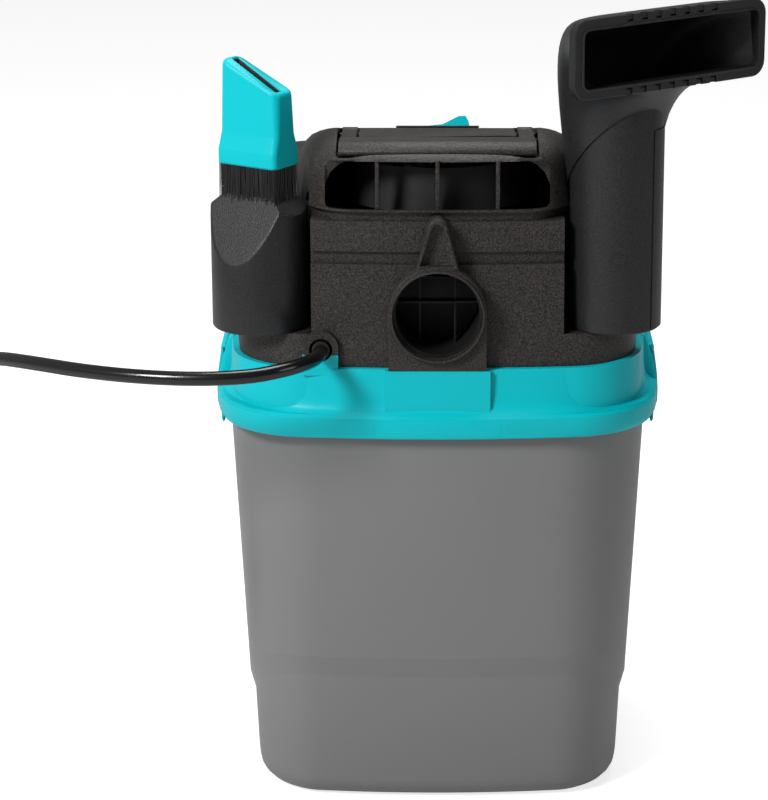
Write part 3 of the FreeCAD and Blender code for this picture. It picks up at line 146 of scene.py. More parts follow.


# %% [markdown]
# ## Finishes
# Every moulded plastic has three things: a fine grain from the mould that breaks up reflections,
# a slow drift in colour, and patches that are a little more polished than the rest. All of them
# come from noise on Object coordinates, so they stay on the piece when it moves. The black
# casings and the tools have a coarser grain that also flecks their colour lighter and darker:
# partly the grain's own tone and partly painted glints of the grain.

# %% A moulded finish
def finish(name, colour, roughness, grain=1200, relief=0.00004, drift=0.06, polish=0.06, metallic=0.0,
           coat=0.0, stretch=(1, 1, 1), grain_tone_and_glint=0.0, shine=0.5):
    """A procedural surface: grain is cells to the metre, relief their height in metres.

    Drift, polish and the grain's fleck share are shares by which colour, roughness and grain colour vary; the
    flecks are partly the grain's tone and partly painted glints of it."""
    material = bpy.data.materials.new(name)
    material.use_nodes = True
    nodes, links = material.node_tree.nodes, material.node_tree.links
    shader = nodes["Principled BSDF"]
    shader.inputs["Metallic"].default_value = metallic
    shader.inputs["Coat Weight"].default_value = coat
    shader.inputs["Specular IOR Level"].default_value = shine
    shader.inputs["Coat Roughness"].default_value = 0.15
    place = nodes.new("ShaderNodeTexCoord")
    turn = nodes.new("ShaderNodeMapping")
    turn.inputs["Scale"].default_value = stretch
    links.new(place.outputs["Object"], turn.inputs["Vector"])
    slow = nodes.new("ShaderNodeTexNoise")
    slow.inputs["Scale"].default_value = 9
    slow.inputs["Detail"].default_value = 5
    links.new(turn.outputs["Vector"], slow.inputs["Vector"])
    ramp = nodes.new("ShaderNodeValToRGB")
    ramp.color_ramp.elements[0].position = 0.3
    ramp.color_ramp.elements[1].position = 0.7
    ramp.color_ramp.elements[0].color = tuple(c * (1 - drift) for c in colour) + (1,)
    ramp.color_ramp.elements[1].color = tuple(min(1, c * (1 + drift)) for c in colour) + (1,)
    links.new(slow.outputs["Fac"], ramp.inputs["Fac"])
    patch = nodes.new("ShaderNodeTexNoise")
    patch.inputs["Scale"].default_value = 37
    patch.inputs["Detail"].default_value = 6
    links.new(turn.outputs["Vector"], patch.inputs["Vector"])
    gloss = nodes.new("ShaderNodeMapRange")
    gloss.inputs["To Min"].default_value = max(0.02, roughness - polish)
    gloss.inputs["To Max"].default_value = min(1, roughness + polish)
    links.new(patch.outputs["Fac"], gloss.inputs["Value"])
    links.new(gloss.outputs["Result"], shader.inputs["Roughness"])
    fine = nodes.new("ShaderNodeTexNoise")
    fine.inputs["Scale"].default_value = grain
    fine.inputs["Detail"].default_value = 3
    links.new(turn.outputs["Vector"], fine.inputs["Vector"])
    # The grain noise also flecks the colour lighter and darker: partly the grain's own tone, partly painted
    # glints of the grain.
    glint_fleck_share = nodes.new("ShaderNodeMapRange")
    glint_fleck_share.inputs["From Min"].default_value = 0.35
    glint_fleck_share.inputs["From Max"].default_value = 0.65
    glint_fleck_share.inputs["To Min"].default_value = 1 - grain_tone_and_glint
    glint_fleck_share.inputs["To Max"].default_value = 1 + grain_tone_and_glint
    links.new(fine.outputs["Fac"], glint_fleck_share.inputs["Value"])
    glint_flecked_colour = nodes.new("ShaderNodeVectorMath")
    glint_flecked_colour.operation = "SCALE"
    links.new(ramp.outputs["Color"], glint_flecked_colour.inputs[0])
    links.new(glint_fleck_share.outputs["Result"], glint_flecked_colour.inputs["Scale"])
    links.new(glint_flecked_colour.outputs["Vector"], shader.inputs["Base Color"])
    bump = nodes.new("ShaderNodeBump")
    bump.inputs["Strength"].default_value = 1
    bump.inputs["Distance"].default_value = relief
    links.new(fine.outputs["Fac"], bump.inputs["Height"])
    links.new(bump.outputs["Normal"], shader.inputs["Normal"])
    return material


# %% The finishes of this machine, by slot
FINISHES = {
    "grey_tank": finish("grey_tank", (0.175, 0.175, 0.177), 0.4, 700, 0.000006, 0.02, 0.05),
    "teal_plastic": finish("teal_plastic", (0.0, 0.47, 0.53), 0.4, 1100, 0.00001, 0.03, 0.05,
                           shine=0.2),
    "black_plastic": finish("black_plastic", (0.024, 0.0205, 0.0185), 0.46, 1000, 0.00035, 0.10, 0.06,
                            grain_tone_and_glint=0.75, shine=0.35),
    "tool_plastic": finish("tool_plastic", (0.012, 0.012, 0.013), 0.4, 1300, 0.00012, 0.08, 0.06,
                           grain_tone_and_glint=0.5, shine=0.4),
    "dark_plastic": finish("dark_plastic", (0.008, 0.008, 0.008), 0.5, 1000, 0.00004, 0.08, 0.05,
                           shine=0.3),
    "white_plastic": finish("white_plastic", (0.75, 0.75, 0.72), 0.4, 900, 0.00001, 0.03, 0.05),
    "black_rubber": finish("black_rubber", (0.012, 0.012, 0.012), 0.6, 800, 0.00004, 0.1, 0.08),
    "cord_pvc": finish("cord_pvc", (0.005, 0.005, 0.005), 0.2, 500, 0.00002, 0.1, 0.06),
    "motor_iron": finish("motor_iron", (0.3, 0.3, 0.31), 0.42, 300, 0.00004, 0.1, 0.1, 1.0),
    "shaft_steel": finish("shaft_steel", (0.62, 0.62, 0.62), 0.25, 2000, 0.00001, 0.04, 0.06, 1.0),
    "copper": finish("copper", (0.72, 0.36, 0.18), 0.35, 1500, 0.00008, 0.1, 0.08, 1.0, 0.3, (1, 1, 8)),
    "blade_brass": finish("blade_brass", (0.8, 0.64, 0.33), 0.24, 1500, 0.00001, 0.04, 0.06, 1.0),
    "screw_steel": finish("screw_steel", (0.55, 0.56, 0.57), 0.33, 1500, 0.00001, 0.05, 0.06, 1.0),
    "bristle_nylon": finish("bristle_nylon", (0.009, 0.009, 0.009), 0.25, 1500, 0.00001, 0.4, 0.08,
                            shine=0.45),
    "pin_steel": finish("pin_steel", (0.03, 0.03, 0.03), 0.35, 2000, 0.00001, 0.04, 0.06, 1.0),
    "filter_paper": finish("filter_paper", (0.82, 0.8, 0.72), 0.85, 1600, 0.00006, 0.05, 0.05),
}
print("finishes:", len(FINISHES))


# %% Floor
# A wide pale sheet of studio paper. It glows a little, so that it stays white away from the lamps.
FLOOR_HALF = 4
GLOW, GLOW_SEEN = 0.12, 0.75
grid = bmesh.new()
bmesh.ops.create_grid(grid, x_segments=2, y_segments=2, size=FLOOR_HALF)
floor_mesh = bpy.data.meshes.new("floor")
grid.to_mesh(floor_mesh)
grid.free()
floor = bpy.data.objects.new("floor", floor_mesh)
bpy.context.scene.collection.objects.link(floor)
paper = finish("studio_paper", (0.5, 0.5, 0.5), 0.8, 900, 0.00002, 0.01, 0.05)
tree = paper.node_tree
shader = tree.nodes["Principled BSDF"]
shader.inputs["Emission Color"].default_value = (1, 1, 1, 1)
glow = tree.nodes.new("ShaderNodeMapRange")
glow.inputs["To Min"].default_value = GLOW
glow.inputs["To Max"].default_value = GLOW_SEEN
seen = tree.nodes.new("ShaderNodeLightPath")
tree.links.new(seen.outputs["Is Camera Ray"], glow.inputs["Value"])
tree.links.new(glow.outputs["Result"], shader.inputs["Emission Strength"])
floor_mesh.materials.append(paper)
print("floor metres across:", 2 * FLOOR_HALF)

# %% [markdown]
# ## The mains cord
# Eight millimetre flexible cord leaves the rear through its strain relief, swings out in one
# loose curve and comes down beside the machine. What is left over is wound into a neat coil of
# three layers, so its turns come from a loop: each turn runs round and then steps to the next.

# %% Cord route
CORD = 8
LEAD = [
    (-64.0, -117.0, 272.0), (-64.2, -134.0, 273.2), (-71.2, -151.2, 274.2), (-84.4, -164.4, 274.0),
    (-101.6, -171.4, 272.8), (-129.0, -171.8, 271.8), (-161.0, -164.0, 271.0), (-192.0, -148.0, 269.6),
    (-220.0, -126.0, 267.6), (-245.0, -99.0, 263.0), (-266.0, -72.0, 253.6), (-283.0, -49.0, 237.0),
    (-295.0, -31.0, 213.0), (-302.0, -18.0, 184.0), (-306.0, -8.0, 151.0), (-308.5, -1.0, 118.0),
    (-309.3, 2.6, 90.0), (-309.2, 7.2, 66.0), (-309.0, 15.0, 48.6), (-309.0, 27.4, 35.0),
    (-309.0, 44.0, 27.8), (-309.0, 62.0, 27.7)]
TAIL = [(-357.0, 126.0, 5.0), (-374.0, 126.6, 6.6), (-392.0, 129.2, 8.8), (-408.0, 133.6, 9.8)]
COIL_CENTRE = Vector((-357, 62, 0))
COIL_INNER = 32
COIL_WIDE = 5
COIL_LAYERS = 3
COIL_STEPS = 16
COIL_TOP = 20
LOOP_RADIUS, LOOP_HEIGHT = 48, 28
STEP_DOWN = ((38.5, 27.9), (35.6, 26.6), (33.2, 24), (32.2, 21))
# A smooth spline runs inside its control points, so the points stand further out by this share.
POLYGON_GAIN = 2 / (1 + math.cos(math.pi / COIL_STEPS) ** 2)


def step_share(share, start, end):
    """How far a jog between two turns has come, from 0 to 1."""
    return min(1, max(0, (share - start) / (end - start)))


def coil_place(turn, share):
    """Radius and height of the cord at a share of one turn of the coil."""
    layer, index = divmod(turn, COIL_WIDE)
    outward = layer != 1
    position = index if outward else COIL_WIDE - 1 - index
    last = index == COIL_WIDE - 1
    late = layer == 0
    jog = 0 if last else step_share(share, 0.8 if late else 0.6, 1.0 if late else 0.8)
    drop = step_share(share, 0.8, 1.0) if last and layer < COIL_LAYERS - 1 else 0
    radius = COIL_INNER + CORD * (position + (jog if outward else -jog))
    return radius, COIL_TOP - CORD * (layer + drop)


def coil_points():
    """One loose loop on top, a step down to the inner turn, and then the layers."""
    spots = []
    for step in range(1, COIL_STEPS + 1):
        spots.append((step, LOOP_RADIUS - CORD * step / COIL_STEPS, LOOP_HEIGHT))
    for step, (radius, height) in enumerate(STEP_DOWN, start=1):
        spots.append((COIL_STEPS + step, radius, height))
    first = COIL_STEPS // 4 + 1
    last = COIL_WIDE * COIL_LAYERS - 1
    for count in range(first, last * COIL_STEPS + COIL_STEPS // 4):
        radius, height = coil_place(count // COIL_STEPS, (count % COIL_STEPS) / COIL_STEPS)
        spots.append((count, radius, height))
    points = []
    for step, radius, height in spots:
        angle = 2 * math.pi * step / COIL_STEPS
        way = Vector((math.cos(angle), math.sin(angle), 0))
        points.append(COIL_CENTRE + way * radius * POLYGON_GAIN + Vector((0, 0, height)))
    return points


# %% Cord piece
def line_of(points, name):
    """A smooth open spline with these points, in millimetres, as its control points."""
    curve = bpy.data.curves.new(name, "CURVE")
    curve.dimensions = "3D"
    curve.resolution_u = 6
    spline = curve.splines.new("NURBS")
    spline.points.add(len(points) - 1)
    for point, spot in zip(spline.points, points):
        point.co = (*(Vector(spot) * MM), 1)
    spline.order_u = 3
    spline.use_endpoint_u = True
    piece = bpy.data.objects.new(name, curve)
    bpy.context.scene.collection.objects.link(piece)
    return piece


def length_of(piece):
    """The length of a curve's own line, measured before it has any thickness."""
    mesh = bpy.data.meshes.new_from_object(piece)
    total = sum((mesh.vertices[edge.vertices[0]].co - mesh.vertices[edge.vertices[1]].co).length
                for edge in mesh.edges)
    bpy.data.meshes.remove(mesh)
    return total


cord = line_of(LEAD + coil_points() + TAIL, "mains_cord")
cord_length = length_of(cord)
cord.data.bevel_depth = CORD / 2 * MM
cord.data.bevel_resolution = 4
cord.data.materials.append(FINISHES["cord_pvc"])
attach(cord, "head")
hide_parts("cord_lead", "cord_coil", "cord_tail")
print("cord length:", round(cord_length, 3))

# %% [markdown]
# ## Moulded casings
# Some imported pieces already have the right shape, but every edge on them is knife sharp and a
# real moulding never has one. Each is copied, its loose triangles are merged and flat areas
# joined, and a small bevel rounds the edges so that they catch the light.


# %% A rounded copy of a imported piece
def set_smooth(shape, limit=35):
    """Smooth shading with creases where two faces meet at more than a limit, in degrees."""
    for face in shape.faces:
        face.smooth = True
    for edge in shape.edges:
        edge.smooth = edge.calc_face_angle(0) < math.radians(limit)


def as_piece(shape, name, body, slot, node=None):
    """Put a finished shape in the scene, on its body, in its finish."""
    mesh = bpy.data.meshes.new(name)
    shape.to_mesh(mesh)
    shape.free()
    piece = bpy.data.objects.new(name, mesh)
    bpy.context.scene.collection.objects.link(piece)
    mesh.materials.append(FINISHES[slot])
    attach(piece, body)
    if node:
        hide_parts(node)
    print(name, "faces:", len(mesh.polygons))
    return piece


def round_edges(piece, width, segments=2, limit=35):
    """A live bevel on the sharp edges."""
    bevel = piece.modifiers.new("rounded_edges", "BEVEL")
    bevel.width = width * MM
    bevel.segments = segments
    bevel.limit_method = "ANGLE"
    bevel.angle_limit = math.radians(limit)
    bevel.harden_normals = True


def packed_shape(node):
    """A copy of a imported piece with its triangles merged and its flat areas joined."""
    shape = bmesh.new()
    shape.from_mesh(NODES[node].data)
    bmesh.ops.remove_doubles(shape, verts=shape.verts, dist=0.00001)
    bmesh.ops.dissolve_limit(shape, angle_limit=math.radians(0.8), use_dissolve_boundaries=False,
                             verts=shape.verts, edges=shape.edges, delimit=set())
    return shape


# %% The pieces that only need round edges
EDGE_WIDTH = {"cord_gland": 0.5, "hose_inlet": 0.6, "switch_bezel": 0.5, "switch_rocker": 0.6}
for node, width in EDGE_WIDTH.items():
    copied = packed_shape(node)
    set_smooth(copied)
    round_edges(as_piece(copied, node + "_moulding", BODY_OF[node], SLOT_OF[node], node), width)

# %% [markdown]
# ## Lofting a moulding
# Most mouldings here are stacks of soft squares: a square with round corners and slightly bowed
# sides. One such plan is a single face whose corners are bevelled and whose sides are divided and
# bowed. A loft starts with the lowest plan and extrudes its outline from one plan to the next.

# %% Soft square plans and lofts
SIDE_BOW = 700
BOW_STRAIGHT = 9000


def plan(half_x, half_y, corner, height, cuts=6, turns=8, bow=SIDE_BOW):
    """The points of one soft square, in order round its outline; bow is its sides' radius."""
    flat = bmesh.new()
    bmesh.ops.create_grid(flat, x_segments=1, y_segments=1, size=1)
    bmesh.ops.scale(flat, vec=(half_x, half_y, 1), verts=flat.verts)
    bmesh.ops.bevel(flat, geom=flat.verts[:], offset=corner, offset_type="OFFSET", affect="VERTICES",
                    segments=turns, profile=0.5, material=-1)
    sides = []
    for edge in flat.edges:
        first, second = (vert.co for vert in edge.verts)
        along_x = max(abs(abs(first.x) - half_x), abs(abs(second.x) - half_x)) < 0.0001
        along_y = max(abs(abs(first.y) - half_y), abs(abs(second.y) - half_y)) < 0.0001
        if along_x or along_y:
            sides.append(edge)
    bmesh.ops.subdivide_edges(flat, edges=sides, cuts=cuts)
    flat.faces.ensure_lookup_table()
    points = []
    for loop in flat.faces[0].loops:
        x, y = loop.vert.co.x, loop.vert.co.y
        points.append(Vector((x * (1 - y * y / 2 / bow / half_x), y * (1 - x * x / 2 / bow / half_y),
                              height)))
    flat.free()
    return points


def loft(rings, closed=True):
    """A skin through rings of points; the first is a face, and the last is one too if it is closed."""
    shape = bmesh.new()
    row = [shape.verts.new(point) for point in rings[0]]
    first = shape.faces.new(row)
    edges = list(first.edges)
    for ring in rings[1:]:
        grown = bmesh.ops.extrude_edge_only(shape, edges=edges)["geom"]
        fresh = {item for item in grown if isinstance(item, bmesh.types.BMVert)}
        edges = [item for item in grown
                 if isinstance(item, bmesh.types.BMEdge) and set(item.verts) <= fresh]
        row = [next(edge.other_vert(old) for edge in old.link_edges if edge.other_vert(old) in fresh)
               for old in row]
        for vert, point in zip(row, ring):
            vert.co = point
    if closed:
        shape.faces.new(row)
    else:
        shape.faces.remove(first)
    bmesh.ops.recalc_face_normals(shape, faces=shape.faces)
    return shape


def closed_band(rings, merge=0.001):
    """A skin that runs through rings and back to the first one, such as a tube with a wall."""
    shape = loft(rings + [rings[0]], closed=False)
    bmesh.ops.remove_doubles(shape, verts=shape.verts, dist=merge)
    bmesh.ops.recalc_face_normals(shape, faces=shape.faces)
    return shape


# %% Blocks and cuts
def block(low, high, edge=0.0):
    """A block between two corners in millimetres, with its edges rounded."""
    shape = bmesh.new()
    bmesh.ops.create_cube(shape, size=1)
    size = Vector(high) - Vector(low)
    bmesh.ops.scale(shape, vec=size, verts=shape.verts)
    bmesh.ops.translate(shape, vec=(Vector(low) + Vector(high)) / 2, verts=shape.verts)
    if edge:
        bmesh.ops.bevel(shape, geom=shape.edges[:], offset=edge, offset_type="OFFSET", affect="EDGES",
                        segments=2, profile=0.5, material=-1)
    return shape


def placed(shape, turn, axis, place):
    """A shape turned about an axis through the origin, in degrees, and then moved."""
    bmesh.ops.rotate(shape, cent=(0, 0, 0), matrix=Matrix.Rotation(math.radians(turn), 3, axis),
                     verts=shape.verts)
    bmesh.ops.translate(shape, vec=place, verts=shape.verts)
    return shape


def joined(*shapes):
    """One shape that holds all of these, each still a closed part of it."""
    whole = shapes[0]
    for part in shapes[1:]:
        mesh = bpy.data.meshes.new("part")
        part.to_mesh(mesh)
        part.free()
        whole.from_mesh(mesh)
        bpy.data.meshes.remove(mesh)
    return whole


def solid_cut(base, tool, way="DIFFERENCE"):
    """One closed shape cut by, joined to or kept inside another."""
    pieces = []
    for shape in (base, tool):
        mesh = bpy.data.meshes.new("cutting")
        shape.to_mesh(mesh)
        shape.free()
        piece = bpy.data.objects.new("cutting", mesh)
        bpy.context.scene.collection.objects.link(piece)
        pieces.append(piece)
    change = pieces[0].modifiers.new("cut", "BOOLEAN")
    change.operation = way
    change.solver = "EXACT"
    change.use_self = True
    change.object = pieces[1]
    bpy.context.view_layer.update()
    made = bpy.data.meshes.new_from_object(pieces[0].evaluated_get(bpy.context.evaluated_depsgraph_get()))
    result = bmesh.new()
    result.from_mesh(made)
    for piece in pieces:
        mesh = piece.data
        bpy.data.objects.remove(piece)
        bpy.data.meshes.remove(mesh)
    bpy.data.meshes.remove(made)
    return result


def metres(shape):
    """Millimetres to metres, and creases where the shape is sharp."""
    bmesh.ops.scale(shape, vec=(MM, MM, MM), verts=shape.verts)
    set_smooth(shape)
    return shape


def smooth_share(value, start, end):
    """A share from 0 to 1 that eases in and out."""
    share = min(1, max(0, (value - start) / (end - start)))
    return share * share * (3 - 2 * share)


# %% [markdown]
# ## Tank
# The tank is a drafted bucket. Its lower part steps in by three millimetres, and the step isn't
# level: it runs high across the back and front and dips at the sides. So the plan is level up to
# the step, and there each point of the outline takes its own height.

# %% Tank
TANK_RIM = (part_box("tank")[1] / MM).z
STEP_SIDE, STEP_BACK, STEP_TALL, STEP_EDGE = 50.5, 83.5, 11, 1.2
FOOT_HALF, FOOT_DRAFT, FOOT_ROUND = 107, 0.045, 13
WALL_HALF, WALL_DRAFT, WALL_FROM, WALL_MIDDLE = 112.6, 0.0512, 68, 150
WALL, LIP, LIP_TALL = 2.6, 1.8, 6
RIM_HALF, RIM_CORNER = 120.8, 47


def tank_half(height):
    """Half width of the tank's drafted wall at a height, below and above the step."""
    return FOOT_HALF + FOOT_DRAFT * height, WALL_HALF + WALL_DRAFT * (height - WALL_FROM)


def corner_of(half):
    """The corner's radius where the tank or its collar is this wide: it grows with the width."""
    return RIM_CORNER - (RIM_HALF - half)


def tank_ring(height, inset=0.0, upper=False, offset=None):
    """One plan of the wall; with an offset it follows the step at that distance from its middle."""
    half = tank_half(height)[1 if upper else 0] - inset
    ring = plan(half, half, corner_of(half), height, 10, 10)
    if offset is None:
        return ring
    result = []
    for point in ring:
        middle = STEP_SIDE + (STEP_BACK - STEP_SIDE) * smooth_share(abs(point.y), 40, 108)
        z = middle + offset
        scale = (tank_half(z)[1 if upper else 0] - inset) / half
        result.append(Vector((point.x * scale, point.y * scale, z)))
    return result


rings = []
for step in range(6):
    angle = math.radians(90 * step / 5)
    inset = FOOT_ROUND * (1 - math.sin(angle))
    rings.append(tank_ring(FOOT_ROUND * (1 - math.cos(angle)), inset))
for offset in (-STEP_TALL / 2 - STEP_EDGE, -STEP_TALL / 2):
    rings.append(tank_ring(STEP_SIDE, 0, False, offset))
for offset in (STEP_TALL / 2, STEP_TALL / 2 + STEP_EDGE):
    rings.append(tank_ring(STEP_SIDE, 0, True, offset))
for height, inset in ((WALL_MIDDLE, 0), (TANK_RIM - LIP_TALL, 0), (TANK_RIM - LIP_TALL, -LIP),
                      (TANK_RIM - 0.4, -LIP), (TANK_RIM, -1.4), (TANK_RIM, WALL), (WALL_MIDDLE, WALL)):
    rings.append(tank_ring(height, inset, True))
rings += [tank_ring(STEP_SIDE, WALL, True, STEP_TALL / 2), tank_ring(STEP_SIDE, WALL, False, -STEP_TALL / 2),
          tank_ring(FOOT_ROUND + 3, WALL), tank_ring(3, FOOT_ROUND)]

# %% Tank with its inlet hole
INLET_LOW, INLET_HIGH = ((corner / MM).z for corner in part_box("hose_inlet"))
INLET_HOLE = 27.3
drill = bmesh.new()
bmesh.ops.create_cone(drill, cap_ends=True, segments=64, radius1=INLET_HOLE, radius2=INLET_HOLE, depth=60)
tank_shape = solid_cut(loft(rings), placed(drill, 90, "X", (0, 118, (INLET_HIGH + INLET_LOW) / 2)))
as_piece(metres(tank_shape), "tank_bucket", "tank", "grey_tank", "tank")

# %% [markdown]
# ## Crevice tool
# A round socket that two sloping flats turn into a thin blade. Each level is a circle whose points
# are held between the flats, so the lower edge of each flat comes out as the arc that it really is.

# %% Tool frames
TOOL_X, TOOL_Y = 98, -88
CREVICE_TURN, NOZZLE_TURN = -33, 36


def stand_tool(shape, side, turn):
    """Move a tool made round the origin to its post and turn it outwards."""
    return placed(shape, turn, "Z", (side * TOOL_X, TOOL_Y, 0))


def between(value, table):
    """A value read from a table of (height, value) rows, in straight runs."""
    for (low, first), (high, second) in zip(table, table[1:]):
        if value <= high:
            return first + (second - first) * max(0, (value - low) / (high - low))
    return table[-1][1]


def circle(radius, height, count=128):
    """The points of a level circle."""
    return [Vector((radius * math.cos(2 * math.pi * k / count),
                    radius * math.sin(2 * math.pi * k / count), height)) for k in range(count)]


# %% Crevice tool
SOCKET, TOOL_WALL = 26.8, 2.4
CREVICE_LOW, CREVICE_HIGH = (corner.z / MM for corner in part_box("crevice_tool"))
FLAT = [(318, SOCKET), (356, 9.2), (CREVICE_HIGH, 7)]
FLANK = [(345, SOCKET), (353, 17.4), (CREVICE_HIGH, 16.4)]


def crevice_ring(height, wall):
    """One level of the tool: a circle held between the flats and the flanks."""
    points = []
    for point in circle(SOCKET - wall, height):
        deep = between(height, FLAT) - wall
        wide = between(height, FLANK) - wall
        points.append(Vector((max(-wide, min(wide, point.x)), max(-deep, min(deep, point.y)), height)))
    return points


heights = [CREVICE_LOW, CREVICE_LOW + 1, 312] + [318 + k for k in range(41)] + [370, CREVICE_HIGH]
outside = [crevice_ring(height, 0) for height in heights]
outside[0] = crevice_ring(CREVICE_LOW, 0.7)
inside = [crevice_ring(height, TOOL_WALL) for height in reversed(heights)]
as_piece(metres(stand_tool(closed_band(outside + inside), -1, CREVICE_TURN)),
         "crevice_socket_and_blade", "crevice", "tool_plastic", "crevice_tool")

# %% [markdown]
# ## Brush head and bristles
# The teal head slips over the blade. It has a wider foot that holds the bristles, a sloping
# shoulder, and a top cut on the slant with the air slot in it. The bristles are single strands,
# each with its own lean, length and curve, round a dark core that stops the light.

# %% Brush head
HEAD_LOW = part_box("brush_head")[0].z / MM
HEAD_TOP_LEFT, HEAD_TOP_RIGHT = 427.5, 411.5


def head_ring(height, wide, deep, corner, slant=False):
    """One level of the head; on the slant its height counts from the sloping top."""
    ring = plan(wide, deep, corner, height, 6, 6, 4000)
    if slant:
        for point in ring:
            share = (point.x + wide) / 2 / wide
            point.z = HEAD_TOP_LEFT + (HEAD_TOP_RIGHT - HEAD_TOP_LEFT) * share + height
    return ring


head_rings = [
    head_ring(HEAD_LOW, 19.0, 11.4, 2.5), head_ring(HEAD_LOW + 0.8, 19.6, 12, 3),
    head_ring(HEAD_LOW + 7.6, 19.6, 12, 3), head_ring(HEAD_LOW + 8.8, 19.55, 11.7, 3),
    head_ring(HEAD_LOW + 16.6, 19.3, 9.4, 3.4), head_ring(HEAD_LOW + 18.2, 19.3, 9.1, 3.5),
    head_ring(-2.6, 18.9, 8.6, 4.4, True), head_ring(-1.2, 18.6, 8.3, 4.4, True),
    head_ring(-0.3, 17.9, 7.6, 4.2, True), head_ring(0, 17.1, 6.8, 4, True),
    head_ring(0, 14.8, 3.2, 1.2, True), head_ring(-1.0, 14.4, 2.8, 1.0, True),
    head_ring(-16, 14.2, 2.8, 1, True)]
head_piece = as_piece(metres(stand_tool(loft(head_rings), -1, CREVICE_TURN)), "brush_head_teal", "brush",
                      "teal_plastic", "brush_head")

# The last band of the loft is the wall of the air slot and the last face is its floor. Both take the
# near-black finish in place of the head's teal: painted shade inside the slot.
head_piece.data.materials.append(FINISHES["dark_plastic"])
for face in head_piece.data.polygons[-len(head_rings[0]) - 1:]:
    face.material_index = 1

# %% Bristles
strands = random.Random(7)
BRISTLE_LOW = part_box("brush_bristles")[0].z / MM
BRISTLE_TOP = HEAD_LOW + 1
ROWS, ACROSS = 14, 80
TUFT_X, TUFT_Y, HOLLOW_X, HOLLOW_Y = 18.6, 11, 16.9, 8.8
THIRD_TURN = 2.094
bristles = loft([head_ring(BRISTLE_LOW + 4, 17.4, 10, 3), head_ring(BRISTLE_TOP, 17.6, 10.2, 3)])
for row in range(ROWS):
    for column in range(ACROSS):
        x = -TUFT_X + 2 * TUFT_X * (column + strands.uniform(0.1, 0.9)) / ACROSS
        y = -TUFT_Y + 2 * TUFT_Y * (row + strands.uniform(0.1, 0.9)) / ROWS
        if abs(x) < HOLLOW_X and abs(y) < HOLLOW_Y:
            continue
        low = BRISTLE_LOW + strands.uniform(0, 2.2)
        lean_x = x * 0.045 + strands.gauss(0, 0.55)
        lean_y = y * 0.06 + strands.gauss(0, 0.4)
        thick = strands.uniform(0.22, 0.36)
        rings = []
        for share in (0, 0.35, 0.7, 1):
            z = BRISTLE_TOP + (low - BRISTLE_TOP) * share
            bend = share ** 1.6
            narrow = thick * (1 - 0.45 * share)
            rings.append([Vector((x + lean_x * bend + narrow * math.cos(k * THIRD_TURN),
                                  y + lean_y * bend + narrow * math.sin(k * THIRD_TURN), z))
                          for k in range(3)])
        bristles = joined(bristles, loft(rings))
as_piece(metres(stand_tool(bristles, -1, CREVICE_TURN)), "brush_strands", "brush", "bristle_nylon",
         "brush_bristles")

# %% [markdown]
# ## Cap and carry handle
# The cap is a thin hood: wide soft shoulders, a ridge near the back and a top that slopes down to
# the front. It is two lofts, one inside the other, each kept inside a side profile. Then the long
# exhaust window, the handle's recess, the scoops beside the tools and the switch's hole are cut.

# %% Prisms
def prism(points, axis, low, high):
    """A flat outline pushed along an axis; points are the two other coordinates in order."""
    shape = bmesh.new()
    row = []
    for first, second in points:
        place = [first, second]
        place.insert("XYZ".index(axis), low)
        row.append(shape.verts.new(place))
    face = shape.faces.new(row)
    grown = bmesh.ops.extrude_face_region(shape, geom=[face])["geom"]
    way = [0, 0, 0]
    way["XYZ".index(axis)] = high - low
    bmesh.ops.translate(shape, vec=way,
                        verts=[item for item in grown if isinstance(item, bmesh.types.BMVert)])
    bmesh.ops.recalc_face_normals(shape, faces=shape.faces)
    return shape


def rounded(shape, width, segments=2, limit=40):
    """Round every edge that is sharper than a limit."""
    sharp = [edge for edge in shape.edges if edge.calc_face_angle(0) > math.radians(limit)]
    bmesh.ops.bevel(shape, geom=sharp, offset=width, offset_type="OFFSET", affect="EDGES", segments=segments,
                    profile=0.5, material=-1)
    return shape


def rod(radius, start, end, count=64):
    """A round bar between two points in millimetres."""
    way = Vector(end) - Vector(start)
    shape = bmesh.new()
    bmesh.ops.create_cone(shape, cap_ends=True, segments=count, radius1=radius, radius2=radius,
                          depth=way.length)
    bmesh.ops.rotate(shape, cent=(0, 0, 0), matrix=way.to_track_quat("Z", "Y").to_matrix(), verts=shape.verts)
    bmesh.ops.translate(shape, vec=(Vector(start) + Vector(end)) / 2, verts=shape.verts)
    return shape


# %% Hood of the cap
CAP_LOW, CAP_TOP = ((corner / MM).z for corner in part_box("top_cap"))
RIDGE_Y, REAR_SLOPE, TOP_SLOPE = -60, 0.149, 0.21
CAP_WALL, NECK = 2.6, 5.4
# Each level: height above the foot, half width, half depth and corner radius.
SHOULDER = [(0, 77, 107, 23), (4.2, 77, 107, 23), (4.6, 79.4, 109.4, 26), (5.4, 80, 110, 26),
            (23, 77.6, 108.9, 26), (31, 75.6, 107.8, 26), (36, 72.4, 106.2, 26),
            (39.6, 67.5, 103.6, 25), (41.3, 63, 101, 24), (42.2, 58, 98, 23)]


def cap_top(y):
    """The height of the cap's top at a place along it: a ridge with a slope each side."""
    if y < RIDGE_Y:
        return CAP_TOP - REAR_SLOPE * (RIDGE_Y - y)
    return CAP_TOP - TOP_SLOPE * (y - RIDGE_Y)


